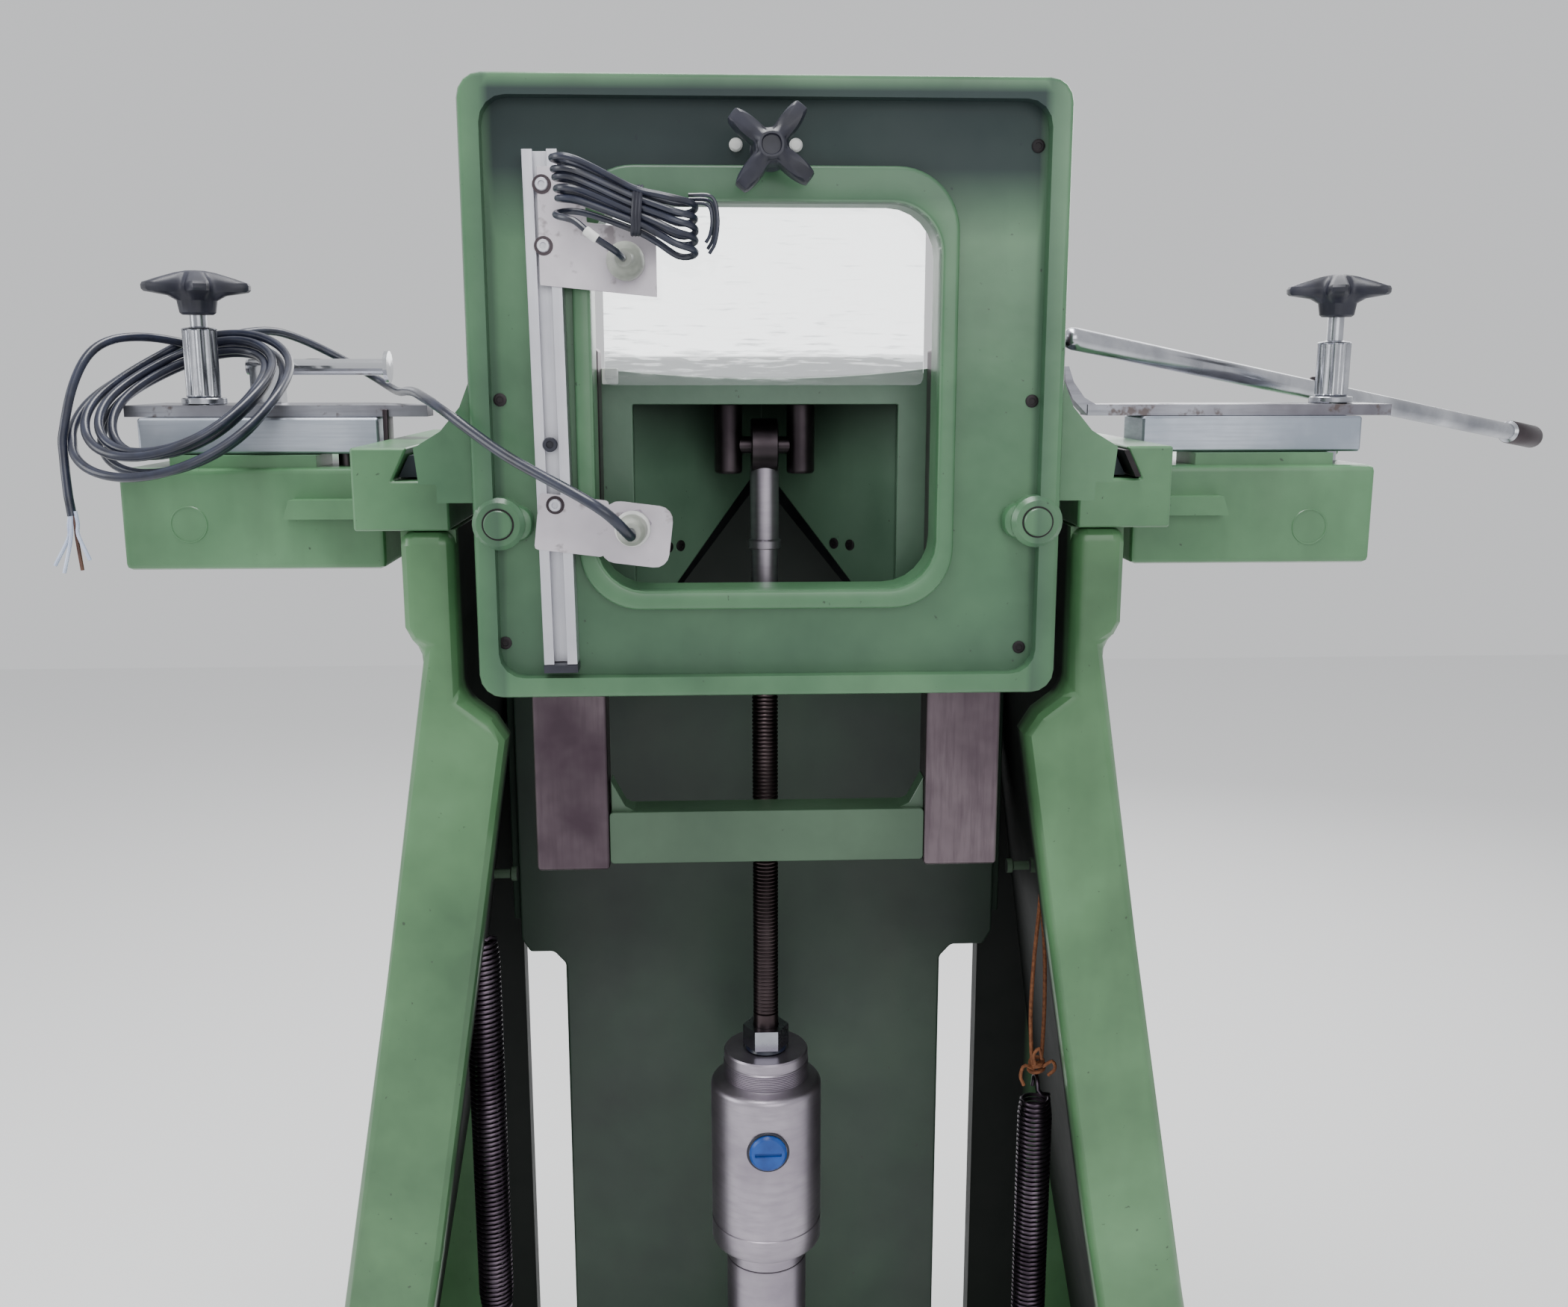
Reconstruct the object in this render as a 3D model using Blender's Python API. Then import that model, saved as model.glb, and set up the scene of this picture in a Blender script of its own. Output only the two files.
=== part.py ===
"""Mitre guillotine for picture-frame mouldings, fitted with a pneumatic cylinder.

x runs to the operator's right, y away from the operator, z up. y = 0 is the front face of
the saddle. Metres throughout. FRAME_SHIFT moves the finished machine over the origin.
"""
import math

import bmesh
import bpy
from mathutils import Matrix, Vector

for old in list(bpy.data.objects):
    bpy.data.objects.remove(old)

# ------------------------------------------------------------------ driving dimensions
FRAME_SHIFT = (-0.1325, -0.1907, 0.0)
GAP = 0.0003            # assembly clearance between neighbouring pieces
TABLE_Z = 0.957
SADDLE_X = (-0.163, 0.162)
SADDLE_Z = (0.837, 1.170)
SADDLE_BACK = 0.034
RECESS = 0.010
WINDOW = (-0.096, 0.093, 0.897, 1.106)
BAR_X = (0.0945, 0.139)  # guide bars, distance from the centre line
BAR_Y = (0.036, 0.0625)
BAR_Z = (0.722, 1.030)
KNIFE_FRONT = 0.0629
KNIFE_HALF = 0.1005
KNIFE_APEX = 0.168
KNIFE_THICK = 0.008
ROD_Y = 0.090
CLEVIS_Z = 0.973
PIVOT_Z = 0.132
BARREL_R = 0.0265
SIDE_FRONT = 0.050
SIDE_BACK = 0.370
WEB = 0.014
DOVETAIL = (0.9550, 0.974, 0.2165, 0.5)  # shelf z, top z, x at the shelf, slope
FENCE_PIVOT = (0.270, 0.165)
FENCE_SWING = {-1: 6, 1: 8}  # degrees
PILLARS = {-1: (0.360, 0.170), 1: (0.3865, 0.178)}  # clamp pillars, distance from the centre
LEVER_TIP = (0.1827, 0.0900, 1.0373)
LEVER_END = (0.6660, 0.4155, 0.9608)
LEVER_PIVOT = (0.4080, 0.2417, 1.0016)  # on the line from tip to end
KNOB_R = 0.0335
WIRE_R = 0.0028

# ------------------------------------------------------------------ materials


def material(name, rgb, metallic, roughness):
    mat = bpy.data.materials.new(name)
    mat.use_nodes = True
    shader = mat.node_tree.nodes["Principled BSDF"]
    shader.inputs["Base Color"].default_value = (*rgb, 1.0)
    shader.inputs["Metallic"].default_value = metallic
    shader.inputs["Roughness"].default_value = roughness
    return mat


GREEN = material("hammered_green_paint", (0.17, 0.27, 0.18), 0.0, 0.45)
DARK_GREEN = material("dark_green_paint", (0.07, 0.13, 0.09), 0.0, 0.5)
STEEL = material("ground_steel", (0.40, 0.38, 0.40), 1.0, 0.35)
BRIGHT = material("bright_steel", (0.62, 0.63, 0.66), 1.0, 0.25)
DARK_STEEL = material("oiled_steel", (0.12, 0.11, 0.11), 1.0, 0.45)
ALU = material("anodised_aluminium", (0.72, 0.72, 0.75), 1.0, 0.35)
SHEET = material("zinc_sheet", (0.65, 0.62, 0.65), 1.0, 0.4)
CYL = material("cylinder_grey", (0.28, 0.26, 0.30), 1.0, 0.4)
BLACK = material("black_plastic", (0.02, 0.02, 0.025), 0.0, 0.5)
BLUE = material("blue_plastic", (0.005, 0.06, 0.36), 0.0, 0.45)
CLEAR = material("clear_guard", (0.80, 0.84, 0.84), 0.0, 0.15)
IRON = material("bare_cast_iron", (0.10, 0.095, 0.09), 0.9, 0.6)
TWINE = material("brown_twine", (0.16, 0.08, 0.05), 0.0, 0.9)
CABLE = material("black_cable", (0.025, 0.025, 0.035), 0.0, 0.45)

# ------------------------------------------------------------------ solids


def obj_from(name, bm, mat):
    bmesh.ops.recalc_face_normals(bm, faces=bm.faces)
    mesh = bpy.data.meshes.new(name)
    bm.to_mesh(mesh)
    bm.free()
    mesh.materials.append(mat)
    obj = bpy.data.objects.new(name, mesh)
    bpy.context.scene.collection.objects.link(obj)
    return obj


def prism(name, outline, low, high, mat, axis="y"):
    """Extrude an outline. axis y: outline is (x, z); z: (x, y); x: (y, z)."""
    order = {"y": lambda a, b, t: (a, t, b), "z": lambda a, b, t: (a, b, t),
             "x": lambda a, b, t: (t, a, b)}[axis]
    bm = bmesh.new()
    ends = [[bm.verts.new(order(a, b, t)) for a, b in outline] for t in (low, high)]
    count = len(outline)
    bm.faces.new(ends[0])
    bm.faces.new(ends[1][::-1])
    for i in range(count):
        j = (i + 1) % count
        bm.faces.new((ends[0][i], ends[1][i], ends[1][j], ends[0][j]))
    return obj_from(name, bm, mat)


def box(name, x, y, z, mat):
    return prism(name, [(x[0], z[0]), (x[1], z[0]), (x[1], z[1]), (x[0], z[1])], *y, mat)


def rounded(x, z, r, steps=5):
    """Outline of a rectangle with rounded corners."""
    points = []
    corners = ((x[1] - r, z[0] + r, -90), (x[1] - r, z[1] - r, 0),
               (x[0] + r, z[1] - r, 90), (x[0] + r, z[0] + r, 180))
    for cx, cz, start in corners:
        for i in range(steps + 1):
            a = math.radians(start + 90 * i / steps)
            points.append((cx + r * math.cos(a), cz + r * math.sin(a)))
    return points


AXES = {"z": Matrix.Identity(3), "y": Matrix(((1, 0, 0), (0, 0, 1), (0, -1, 0))),
        "x": Matrix(((0, 0, 1), (0, 1, 0), (-1, 0, 0)))}


def turned(name, profile, mat, centre=(0, 0, 0), axis="z", steps=24, flutes=None):
    """Turn (radius, height) pairs round an axis; flutes = (count, depth) waves the rim."""
    bm = bmesh.new()
    rings = []
    turn = AXES[axis] if isinstance(axis, str) else Vector((0, 0, 1)).rotation_difference(
        Vector(axis)).to_matrix()
    for r, h in profile:
        if r == 0:
            rings.append([bm.verts.new(turn @ Vector((0, 0, h)) + Vector(centre))])
            continue
        ring = []
        for i in range(steps):
            a = 2 * math.pi * i / steps
            rr = r
            if flutes:
                rr = r * (1 - flutes[1] * (0.5 + 0.5 * math.cos(flutes[0] * a)))
            spot = Vector((rr * math.cos(a), rr * math.sin(a), h))
            ring.append(bm.verts.new(turn @ spot + Vector(centre)))
        rings.append(ring)
    pairs = list(zip(rings, rings[1:]))
    if profile[0][0] != 0:
        pairs.append((rings[-1], rings[0]))
    for low, high in pairs:
        for i in range(steps):
            j = (i + 1) % steps
            if len(low) == 1:
                bm.faces.new((low[0], high[i], high[j]))
            elif len(high) == 1:
                bm.faces.new((low[i], low[j], high[0]))
            else:
                bm.faces.new((low[i], low[j], high[j], high[i]))
    obj = obj_from(name, bm, mat)
    for face in obj.data.polygons:
        face.use_smooth = True
    obj.data.set_sharp_from_angle(angle=math.radians(35))
    return obj


def cylinder(name, r, low, high, mat, centre=(0, 0, 0), axis="z", steps=24):
    return turned(name, [(0, low), (r, low), (r, high), (0, high)], mat, centre, axis, steps)


def bore(r, low, high, centre, axis="z", steps=24):
    return cylinder("bore", r, low, high, GREEN, centre, axis, steps)


def combine(obj, tools, operation):
    """Boolean each tool into obj and leave the result as its mesh."""
    for tool in tools:
        step = obj.modifiers.new("combine", "BOOLEAN")
        step.operation = operation
        step.solver = "EXACT"
        step.object = tool
        bpy.context.view_layer.update()
        graph = bpy.context.evaluated_depsgraph_get()
        result = bpy.data.meshes.new_from_object(obj.evaluated_get(graph))
        obj.modifiers.clear()
        obj.data = result
        bpy.data.objects.remove(tool)
    return obj


def join(obj, *tools):
    return combine(obj, tools, "UNION")


def cut(obj, *tools):
    return combine(obj, tools, "DIFFERENCE")


def soften(obj, width, segments=2, angle=40):
    edge = obj.modifiers.new("edge", "BEVEL")
    edge.width = width
    edge.segments = segments
    edge.limit_method = "ANGLE"
    edge.angle_limit = math.radians(angle)
    for face in obj.data.polygons:
        face.use_smooth = True
    obj.data.set_sharp_from_angle(angle=math.radians(40))
    return obj


def tube(name, points, radius, mat):
    curve = bpy.data.curves.new(name, "CURVE")
    curve.dimensions = "3D"
    curve.bevel_depth = radius
    curve.bevel_resolution = 2
    curve.use_fill_caps = True
    line = curve.splines.new("POLY")
    line.points.add(len(points) - 1)
    for spot, point in zip(line.points, points):
        spot.co = (*point, 1.0)
    curve.materials.append(mat)
    obj = bpy.data.objects.new(name, curve)
    bpy.context.scene.collection.objects.link(obj)
    return obj


def smooth_path(knots, pitch):
    """Points every pitch metres along a Catmull-Rom line through the knots."""
    ends = [Vector(k) for k in knots]
    ends = [2 * ends[0] - ends[1]] + ends + [2 * ends[-1] - ends[-2]]
    fine = []
    for i in range(1, len(ends) - 2):
        p0, p1, p2, p3 = ends[i - 1:i + 3]
        for s in range(40):
            t = s / 40
            fine.append(0.5 * (2 * p1 + (p2 - p0) * t + (2 * p0 - 5 * p1 + 4 * p2 - p3) * t ** 2
                               + (3 * p1 - p0 - 3 * p2 + p3) * t ** 3))
    fine.append(ends[-2])
    out = [fine[0]]
    for spot in fine[1:]:
        if (spot - out[-1]).length >= pitch:
            out.append(spot)
    if (fine[-1] - out[-1]).length > pitch * 0.4:
        out.append(fine[-1])
    return out


def flip(points, side):
    """Mirror an outline's first coordinate for the left-hand piece."""
    return points if side > 0 else [(-a, b) for a, b in points][::-1]


# ------------------------------------------------------------------ joints


def pivot(name, spot, parent=None):
    empty = bpy.data.objects.new(name, None)
    empty.empty_display_size = 0.03
    bpy.context.scene.collection.objects.link(empty)
    empty.parent = parent
    empty["machine_spot"] = spot
    base = Vector(parent["machine_spot"]) if parent else Vector((0, 0, 0))
    empty.location = Vector(spot) - base
    return empty


MACHINE = pivot("machine_frame", (0, 0, 0))
MACHINE.location = FRAME_SHIFT
SADDLE = pivot("saddle_travel", (0, 0, 0), MACHINE)
KNIVES = pivot("knife_travel", (0, 0, 0), SADDLE)
CYLINDER = pivot("cylinder_pivot", (0, ROD_Y, PIVOT_Z), MACHINE)
ROD = pivot("rod_travel", (0, ROD_Y, PIVOT_Z), CYLINDER)
LEVER = pivot("lever_pivot", LEVER_PIVOT, MACHINE)
GUARD_KNOB_SPOT = (0.0, 0.0, 1.130)
GUARD_KNOB = pivot("guard_knob_axis", GUARD_KNOB_SPOT, SADDLE)
FENCES = {}
KNOBS = {}
for side, word in ((-1, "left"), (1, "right")):
    FENCES[side] = pivot(f"fence_{word}_pivot", (side * FENCE_PIVOT[0], FENCE_PIVOT[1], TABLE_Z),
                         MACHINE)
    KNOBS[side] = pivot(f"star_knob_{word}_axis",
                        (side * PILLARS[side][0], PILLARS[side][1], 1.05), MACHINE)


def settle(obj, parent):
    """Give a finished piece an origin at its middle, placed under its joint."""
    if obj.type == "CURVE":
        spots = [Vector(p.co[:3]) for p in obj.data.splines[0].points]
    else:
        spots = [v.co.copy() for v in obj.data.vertices]
    low = Vector([min(s[i] for s in spots) for i in range(3)])
    high = Vector([max(s[i] for s in spots) for i in range(3)])
    middle = (low + high) / 2
    obj.data.transform(Matrix.Translation(-middle))
    obj.parent = parent
    obj.location = middle - Vector(parent["machine_spot"])
    return obj


# ------------------------------------------------------------------ side frames and column


def web_x(z):
    """Middle line of a leg's web at height z."""
    stations = ((0.0223, 0.320), (0.416, 0.2475), (0.80, 0.196), (0.93, 0.196))
    for (z0, x0), (z1, x1) in zip(stations, stations[1:]):
        if z <= z1:
            return x0 + (x1 - x0) * (z - z0) / (z1 - z0)
    return stations[-1][1]


FLANGE = [(0.215, 0.9257), (0.215, 0.868), (0.211, 0.860), (0.204, 0.855), (0.238, 0.640),
          (0.277, 0.416), (0.352, 0.0223), (0.288, 0.0223), (0.212, 0.452), (0.157, 0.799),
          (0.165, 0.812), (0.1830, 0.826), (0.1830, 0.9257)]
for side, word in ((-1, "left"), (1, "right")):
    front = soften(prism("front", flip(FLANGE, side), SIDE_FRONT, 0.082, GREEN), 0.009, 3, 50)
    web_line = [(web_x(z) + WEB / 2, z) for z in (0.0223, 0.416, 0.80, 0.9257)]
    web_line += [(web_x(z) - WEB / 2, z) for z in (0.9257, 0.80, 0.416, 0.0223)]
    web = prism(f"{word}_side_frame", flip(web_line, side), 0.070, SIDE_BACK - 0.008, GREEN)
    rear_line = [(web_x(z) + 0.026, z) for z in (0.0223, 0.416, 0.80, 0.9257)]
    rear_line += [(web_x(z) - 0.0155, z) for z in (0.9257, 0.80)]
    rear_line += [(0.188 if side > 0 else 0.193, z) for z in (0.575, 0.0223)]
    rear = prism("rear", flip(rear_line, side), SIDE_BACK - 0.020, SIDE_BACK, GREEN)
    post = prism("post", flip([(0.183, 0.870), (0.2152, 0.870), (0.2152, 0.9257),
                               (0.183, 0.9257)], side), 0.060, 0.261, GREEN)
    frame = join(web, front, rear, post)
    foot = box("foot", (min(side * 0.285, side * 0.358), max(side * 0.285, side * 0.358)),
               (0.052, SIDE_BACK - 0.002), (0.0223, 0.045), GREEN)
    stud = turned("spring_stud", [(0, -0.030), (0.0048, -0.030), (0.0048, -0.0265),
                                  (0.0030, -0.0255), (0.0030, -0.0150), (0.0050, -0.0140),
                                  (0.0050, 0.022), (0, 0.022)], GREEN,
                  (side * 0.1935, 0.123, 0.690), (side, 0, 0), 14)
    settle(join(frame, foot, stud), MACHINE)
    pad = box(f"foot_{word}", (min(side * 0.272, side * 0.376), max(side * 0.272, side * 0.376)),
              (0.030, SIDE_BACK + 0.020), (0.0, 0.022), IRON)
    settle(soften(pad, 0.004), MACHINE)

COLUMN = [(-0.150, 0.9742), (-0.150, 0.9300), (-0.1825, 0.9300), (-0.1825, 0.587),
          (-0.176, 0.576), (-0.158, 0.576), (-0.149, 0.566), (-0.149, 0.104),
          (0.142, 0.104), (0.142, 0.566), (0.151, 0.576), (0.176, 0.576),
          (0.1825, 0.587), (0.1825, 0.9300), (0.150, 0.9300), (0.150, 0.9742)]
column = prism("rear_column", COLUMN[::-1], 0.262, 0.286, DARK_GREEN)
for side in (-1, 1):
    lug = box("lug", (min(side * 0.170, side * 0.1887), max(side * 0.170, side * 0.1887)),
              (0.270, 0.340), (0.60, 0.92), DARK_GREEN)
    join(column, lug)
settle(column, MACHINE)


def tie_edge(z):
    return web_x(z) - WEB / 2 - GAP


TIE = [(tie_edge(0.046), 0.046), (tie_edge(0.1037), 0.1037)]
tie = prism("base_crossmember", TIE + [(-x, z) for x, z in TIE[::-1]], 0.052 + 0.032, 0.300, GREEN)
settle(tie, MACHINE)

# ------------------------------------------------------------------ guideways and tables


def dovetail_x(z, inset=0.0):
    return DOVETAIL[2] - inset - DOVETAIL[3] * (z - DOVETAIL[0])


for side, word in ((-1, "left"), (1, "right")):
    back_off = 0.0 if side < 0 else 0.0048
    face = [(0.1845, 0.926), (0.240, 0.926), (0.240, DOVETAIL[1]),
            (dovetail_x(DOVETAIL[1]) + back_off, DOVETAIL[1]),
            (dovetail_x(DOVETAIL[0]) + back_off, DOVETAIL[0]), (0.1845, DOVETAIL[0])]
    way = prism(f"guideway_{word}", flip(face, side), SIDE_FRONT, 0.300, GREEN)
    settle(soften(way, 0.0012, 1), MACHINE)
    inner = 0.2404
    arm_end = 0.400 if side > 0 else 0.404
    arm = box(f"table_arm_{word}", tuple(sorted((side * inner, side * arm_end))),
              (0.130, 0.300), (0.893, TABLE_Z), GREEN)
    soften(arm, 0.004)
    rib = prism("rib", flip([(0.2404, 0.926), (0.300, 0.926), (0.296, 0.938), (0.2404, 0.938)],
                            side), 0.118, 0.140, GREEN)
    strip = box("strip", tuple(sorted((side * 0.282, side * 0.373))), (0.136, 0.176),
                (TABLE_Z - 0.004, 0.9647), GREEN)
    hole = bore(0.0068, 0.88, 0.97, (side * PILLARS[side][0], PILLARS[side][1], 0))
    pin_hole = bore(0.0055, 0.88, 0.97, (side * FENCE_PIVOT[0], FENCE_PIVOT[1], 0))
    settle(cut(join(arm, rib, strip), hole, pin_hole), MACHINE)

GIB_Z = (0.9562, 0.9720)
gib = prism("gib_strip", [(dovetail_x(GIB_Z[1]) + 0.0009, GIB_Z[1]),
                          (dovetail_x(GIB_Z[1]) + 0.0045, GIB_Z[1]),
                          (dovetail_x(GIB_Z[0]) + 0.0045, GIB_Z[0]),
                          (dovetail_x(GIB_Z[0]) + 0.0009, GIB_Z[0])], 0.046, 0.296, IRON)
settle(gib, MACHINE)
TABLE = [(-0.190, 0.150), (-0.0735, 0.150), (0.0, 0.2235), (0.0735, 0.150), (0.190, 0.150),
         (0.190, 0.320), (-0.190, 0.320)]
settle(prism("centre_table", TABLE, 0.9745, 0.9955, STEEL, "z"), MACHINE)

# ------------------------------------------------------------------ saddle

casting = prism("saddle_casting", rounded(SADDLE_X, SADDLE_Z, 0.013, 4), 0.0, SADDLE_BACK, GREEN)
soften(casting, 0.003, 2, 60)
recess = prism("recess", rounded((-0.1515, 0.1505), (0.8485, 1.1585), 0.014, 4), -0.01, RECESS,
               GREEN)
lip = prism("lip", rounded((-0.1055, 0.1025), (0.8865, 1.1165), 0.034, 6), 0.002, 0.020, GREEN)
soften(lip, 0.003, 2, 60)
opening = prism("opening", rounded(WINDOW[:2], WINDOW[2:], 0.027, 6), -0.02, 0.06, GREEN)
parts = [lip]
for side in (-1, 1):
    wall = box("wall", tuple(sorted((side * 0.1395, side * 0.158))), (0.030, 0.064),
               (0.850, 1.155), GREEN)
    runner = [(0.1565, 0.9565), (dovetail_x(0.9565, 0.0012), 0.9565),
              (dovetail_x(0.9690, 0.0012), 0.9690), (0.1565, 0.9690)]
    rail = prism("runner", flip(runner, side), 0.060, 0.240, GREEN)
    ear = [(0.1565, 0.946), (0.1832, 0.946), (0.1832, 0.9562), (0.1930, 0.9562), (0.1950, 0.976),
           (0.180, 0.985), (0.169, 0.998), (0.1625, 1.014), (0.1565, 1.014)]
    gusset = prism("gusset", flip(ear, side), 0.008, 0.032, GREEN)
    boss = turned("boss", [(0, -0.002), (0.012, -0.002), (0.0145, 0.0005), (0.0145, 0.02),
                           (0, 0.02)], GREEN, (side * 0.149, 0, 0.935), (0, 1, 0))
    blend = prism("blend", rounded(tuple(sorted((side * 0.149, side * 0.1305))),
                                   (0.925, 0.945), 0.0090, 5), 0.0015, 0.02, GREEN)
    soften(blend, 0.004, 2, 60)
    parts += [wall, rail, gusset, boss, blend]
cut(casting, recess)
join(casting, *parts)
cut(casting, opening, bore(0.0058, -0.02, 0.06, (0, 0, GUARD_KNOB_SPOT[2]), (0, 1, 0)),
    bore(0.0026, -0.02, 0.06, (-0.0175, 0, 1.1355), (0, 1, 0), 16),
    bore(0.0026, -0.02, 0.06, (0.0145, 0, 1.1355), (0, 1, 0), 16))
settle(casting, SADDLE)

for side, word in ((-1, "left"), (1, "right")):
    plate = box(f"bar_keeper_{word}", tuple(sorted((side * 0.1080, side * 0.1560))),
                (0.0643, 0.0763), (0.862, 1.145), STEEL)
    settle(soften(plate, 0.001, 1), SADDLE)

# Slotted rail on the saddle's left side, leaning slightly, with both proximity switches.
LEAN = Matrix.Translation((-0.1185, 0, 0.994)) @ Matrix.Rotation(math.radians(-0.7), 4, "Y")
RAIL = [(-0.0092, 0.0), (-0.0092, -0.0137), (-0.0036, -0.0137), (-0.0036, -0.0117),
        (-0.0060, -0.0100), (-0.0060, -0.0050), (0.0060, -0.0050), (0.0060, -0.0100),
        (0.0036, -0.0117), (0.0036, -0.0137), (0.0092, -0.0137), (0.0092, 0.0)]
rail = prism("sensor_rail", [(x, y + RECESS - GAP) for x, y in RAIL], -0.137, 0.137, ALU, "z")
rail.data.transform(LEAN)
settle(rail, SADDLE)
cap = box("rail_end_cap", (-0.0095, 0.0095), (-0.0042, RECESS - GAP), (-0.1418, -0.1373), BLACK)
cap.data.transform(LEAN)
settle(cap, SADDLE)
PLATE_Y = (-0.0062, -0.0042)
UPPER = [(-0.1215, 1.122), (-0.1215, 1.062), (-0.060, 1.056), (-0.060, 1.090), (-0.096, 1.094),
         (-0.099, 1.122)]
upper = prism("upper_switch_bracket", UPPER, *PLATE_Y, SHEET)
UPPER_SWITCH = (-0.0755, 0, 1.0735)
LOWER_SWITCH = (-0.0745, 0, 0.9345)
cut(upper, bore(0.0064, -0.02, 0.02, UPPER_SWITCH, (0, 1, 0)))
settle(upper, SADDLE)
lower = prism("lower_switch_bracket", rounded((-0.0190, 0.0190), (-0.0150, 0.0160), 0.002, 2),
              -0.001, 0.001, SHEET)
wing = prism("wing", rounded((0.0170, 0.0545), (-0.0175, 0.0165), 0.008, 4), -0.001, 0.001, SHEET)
join(lower, wing)
lower.data.transform(Matrix.Translation((-0.1085, -0.0052, 0.9345))
                     @ Matrix.Rotation(math.radians(7.0), 4, "Y"))
cut(lower, bore(0.0064, -0.02, 0.02, LOWER_SWITCH, (0, 1, 0)))
settle(lower, SADDLE)
SWITCH = [(0, -0.040), (0.0042, -0.040), (0.0058, -0.034), (0.0058, -0.0225), (0.0100, -0.0225),
          (0.0100, -0.0067), (0.0060, -0.0067), (0.0060, 0.050), (0, 0.050)]
for spot, name in ((UPPER_SWITCH, "upper_switch"), (LOWER_SWITCH, "lower_switch")):
    settle(turned(name, SWITCH, DARK_STEEL, spot, (0, 1, 0), 18), SADDLE)

guard = prism("blade_guard", rounded((-0.0915, 0.0885), (1.0095, 1.152), 0.004, 2),
              SADDLE_BACK + GAP, SADDLE_BACK + GAP + 0.0012, CLEAR)
cut(guard, bore(0.0058, 0.0, 0.06, (0, 0, GUARD_KNOB_SPOT[2]), (0, 1, 0)),
    bore(0.0075, 0.0, 0.06, UPPER_SWITCH, (0, 1, 0)))
settle(guard, SADDLE)

# Four-armed knob that holds the guard.
knob = turned("guard_knob", [(0, -0.034), (0.008, -0.034), (0.011, -0.031), (0.012, -0.012),
                             (0.0105, -0.0062), (0.0045, -0.0062), (0.0045, 0.0400),
                             (0, 0.0400)], BLACK, GUARD_KNOB_SPOT, (0, 1, 0))
for i in range(4):
    a = math.radians(20 + 90 * i)
    reach = Vector((math.cos(a), 0, math.sin(a)))
    lobe = turned("lobe", [(0, -0.032), (0.0068, -0.032), (0.0082, -0.0295), (0.0082, -0.0155),
                           (0.0068, -0.013), (0, -0.013)], BLACK,
                  Vector(GUARD_KNOB_SPOT) + reach * 0.0178, (0, 1, 0), 14)
    arm = box("arm", (0.0, 0.0178), (-0.0305, -0.0145), (-0.0062, 0.0062), BLACK)
    arm.data.transform(Matrix.Translation(GUARD_KNOB_SPOT) @ Matrix.Rotation(-a, 4, "Y"))
    join(knob, arm, lobe)
settle(knob, GUARD_KNOB)

# ------------------------------------------------------------------ knife carriage

block = prism("knife_block", [(-KNIFE_HALF, KNIFE_FRONT), (KNIFE_HALF, KNIFE_FRONT),
                              (KNIFE_HALF, KNIFE_FRONT + 0.006), (0.0, KNIFE_APEX),
                              (-KNIFE_HALF, KNIFE_FRONT + 0.006)], 0.880, 1.0195, GREEN, "z")
hollow = prism("hollow", [(-0.078, 0.05), (0.078, 0.05), (0.078, KNIFE_FRONT + 0.008),
                          (0.0, KNIFE_APEX - 0.020), (-0.078, KNIFE_FRONT + 0.008)],
               0.86, 0.998, GREEN, "z")
sag = [(-0.11, 1.03), (0.11, 1.03), (0.11, 1.0195)]
sag += [(0.1005 - 0.201 * i / 10, 1.0130 + 0.0065 * (abs(i - 5) / 5) ** 2) for i in range(11)]
sag += [(-0.11, 1.0195)]
gate = prism("gate", [(-0.058, 0.86), (0.058, 0.86), (0.058, 0.883), (0.004, 0.953),
                      (-0.004, 0.953), (-0.058, 0.883)], 0.04, 0.2, GREEN)
cut(block, hollow, prism("sag", sag, 0.04, 0.2, GREEN), gate)
for side in (-1, 1):
    cut(block, bore(0.0074, 0.985, 1.04, (side * 0.022, ROD_Y, 0)))
settle(block, KNIVES)

for side, word in ((-1, "left"), (1, "right")):
    foot_x = BAR_X[0] + (0.0 if side > 0 else 0.001)
    bar = box(f"guide_bar_{word}", tuple(sorted((side * foot_x, side * BAR_X[1]))),
              BAR_Y, BAR_Z, STEEL)
    settle(soften(bar, 0.0016, 1), KNIVES)
    root = KNIFE_THICK * math.sqrt(2)
    apex = KNIFE_APEX + GAP * 1.5
    start = KNIFE_FRONT + 0.006 + GAP * 1.5
    plan = [(GAP / 2 + 0.0001, apex), (KNIFE_HALF, start), (KNIFE_HALF, start + root),
            (GAP / 2 + 0.0001, apex + root)]
    knife = prism(f"knife_{word}", flip(plan, side), 0.874, 1.005, BRIGHT, "z")
    slope = [(-0.01, 0.86), (0.12, 0.86), (0.12, 0.876), (0.058, 0.876), (0.0, 0.946),
             (-0.01, 0.958)]
    cut(knife, prism("slope", flip(slope, side), 0.04, 0.25, GREEN))
    settle(knife, KNIVES)
clevis = cylinder("knife_clevis", 0.0052, -0.0240, 0.0240, BRIGHT, (0, ROD_Y, CLEVIS_Z), "x")
for side in (-1, 1):
    stud = turned("stud", [(0, 0.9560), (0.0075, 0.9560), (0.0085, 0.9575), (0.0085, 0.9975),
                           (0.0068, 0.9977), (0.0068, 1.0110), (0, 1.0110)], BRIGHT,
                  (side * 0.022, ROD_Y, 0))
    join(clevis, stud)
settle(clevis, KNIVES)
cross = prism("lower_crossbar", rounded((-BAR_X[0] - 0.001 + GAP, BAR_X[0] - GAP),
                                        (0.7255, 0.7575), 0.002, 2), 0.038, 0.0615, GREEN)
for side in (-1, 1):
    web = prism("fillet", flip([(0.0945 - GAP, 0.735), (0.0945 - GAP, 0.776), (0.086, 0.7605),
                                (0.070, 0.752), (0.070, 0.735)], side), 0.042, 0.0575, GREEN)
    join(cross, web)
settle(soften(cross, 0.002, 1), KNIVES)

# ------------------------------------------------------------------ cylinder and rod

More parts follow.
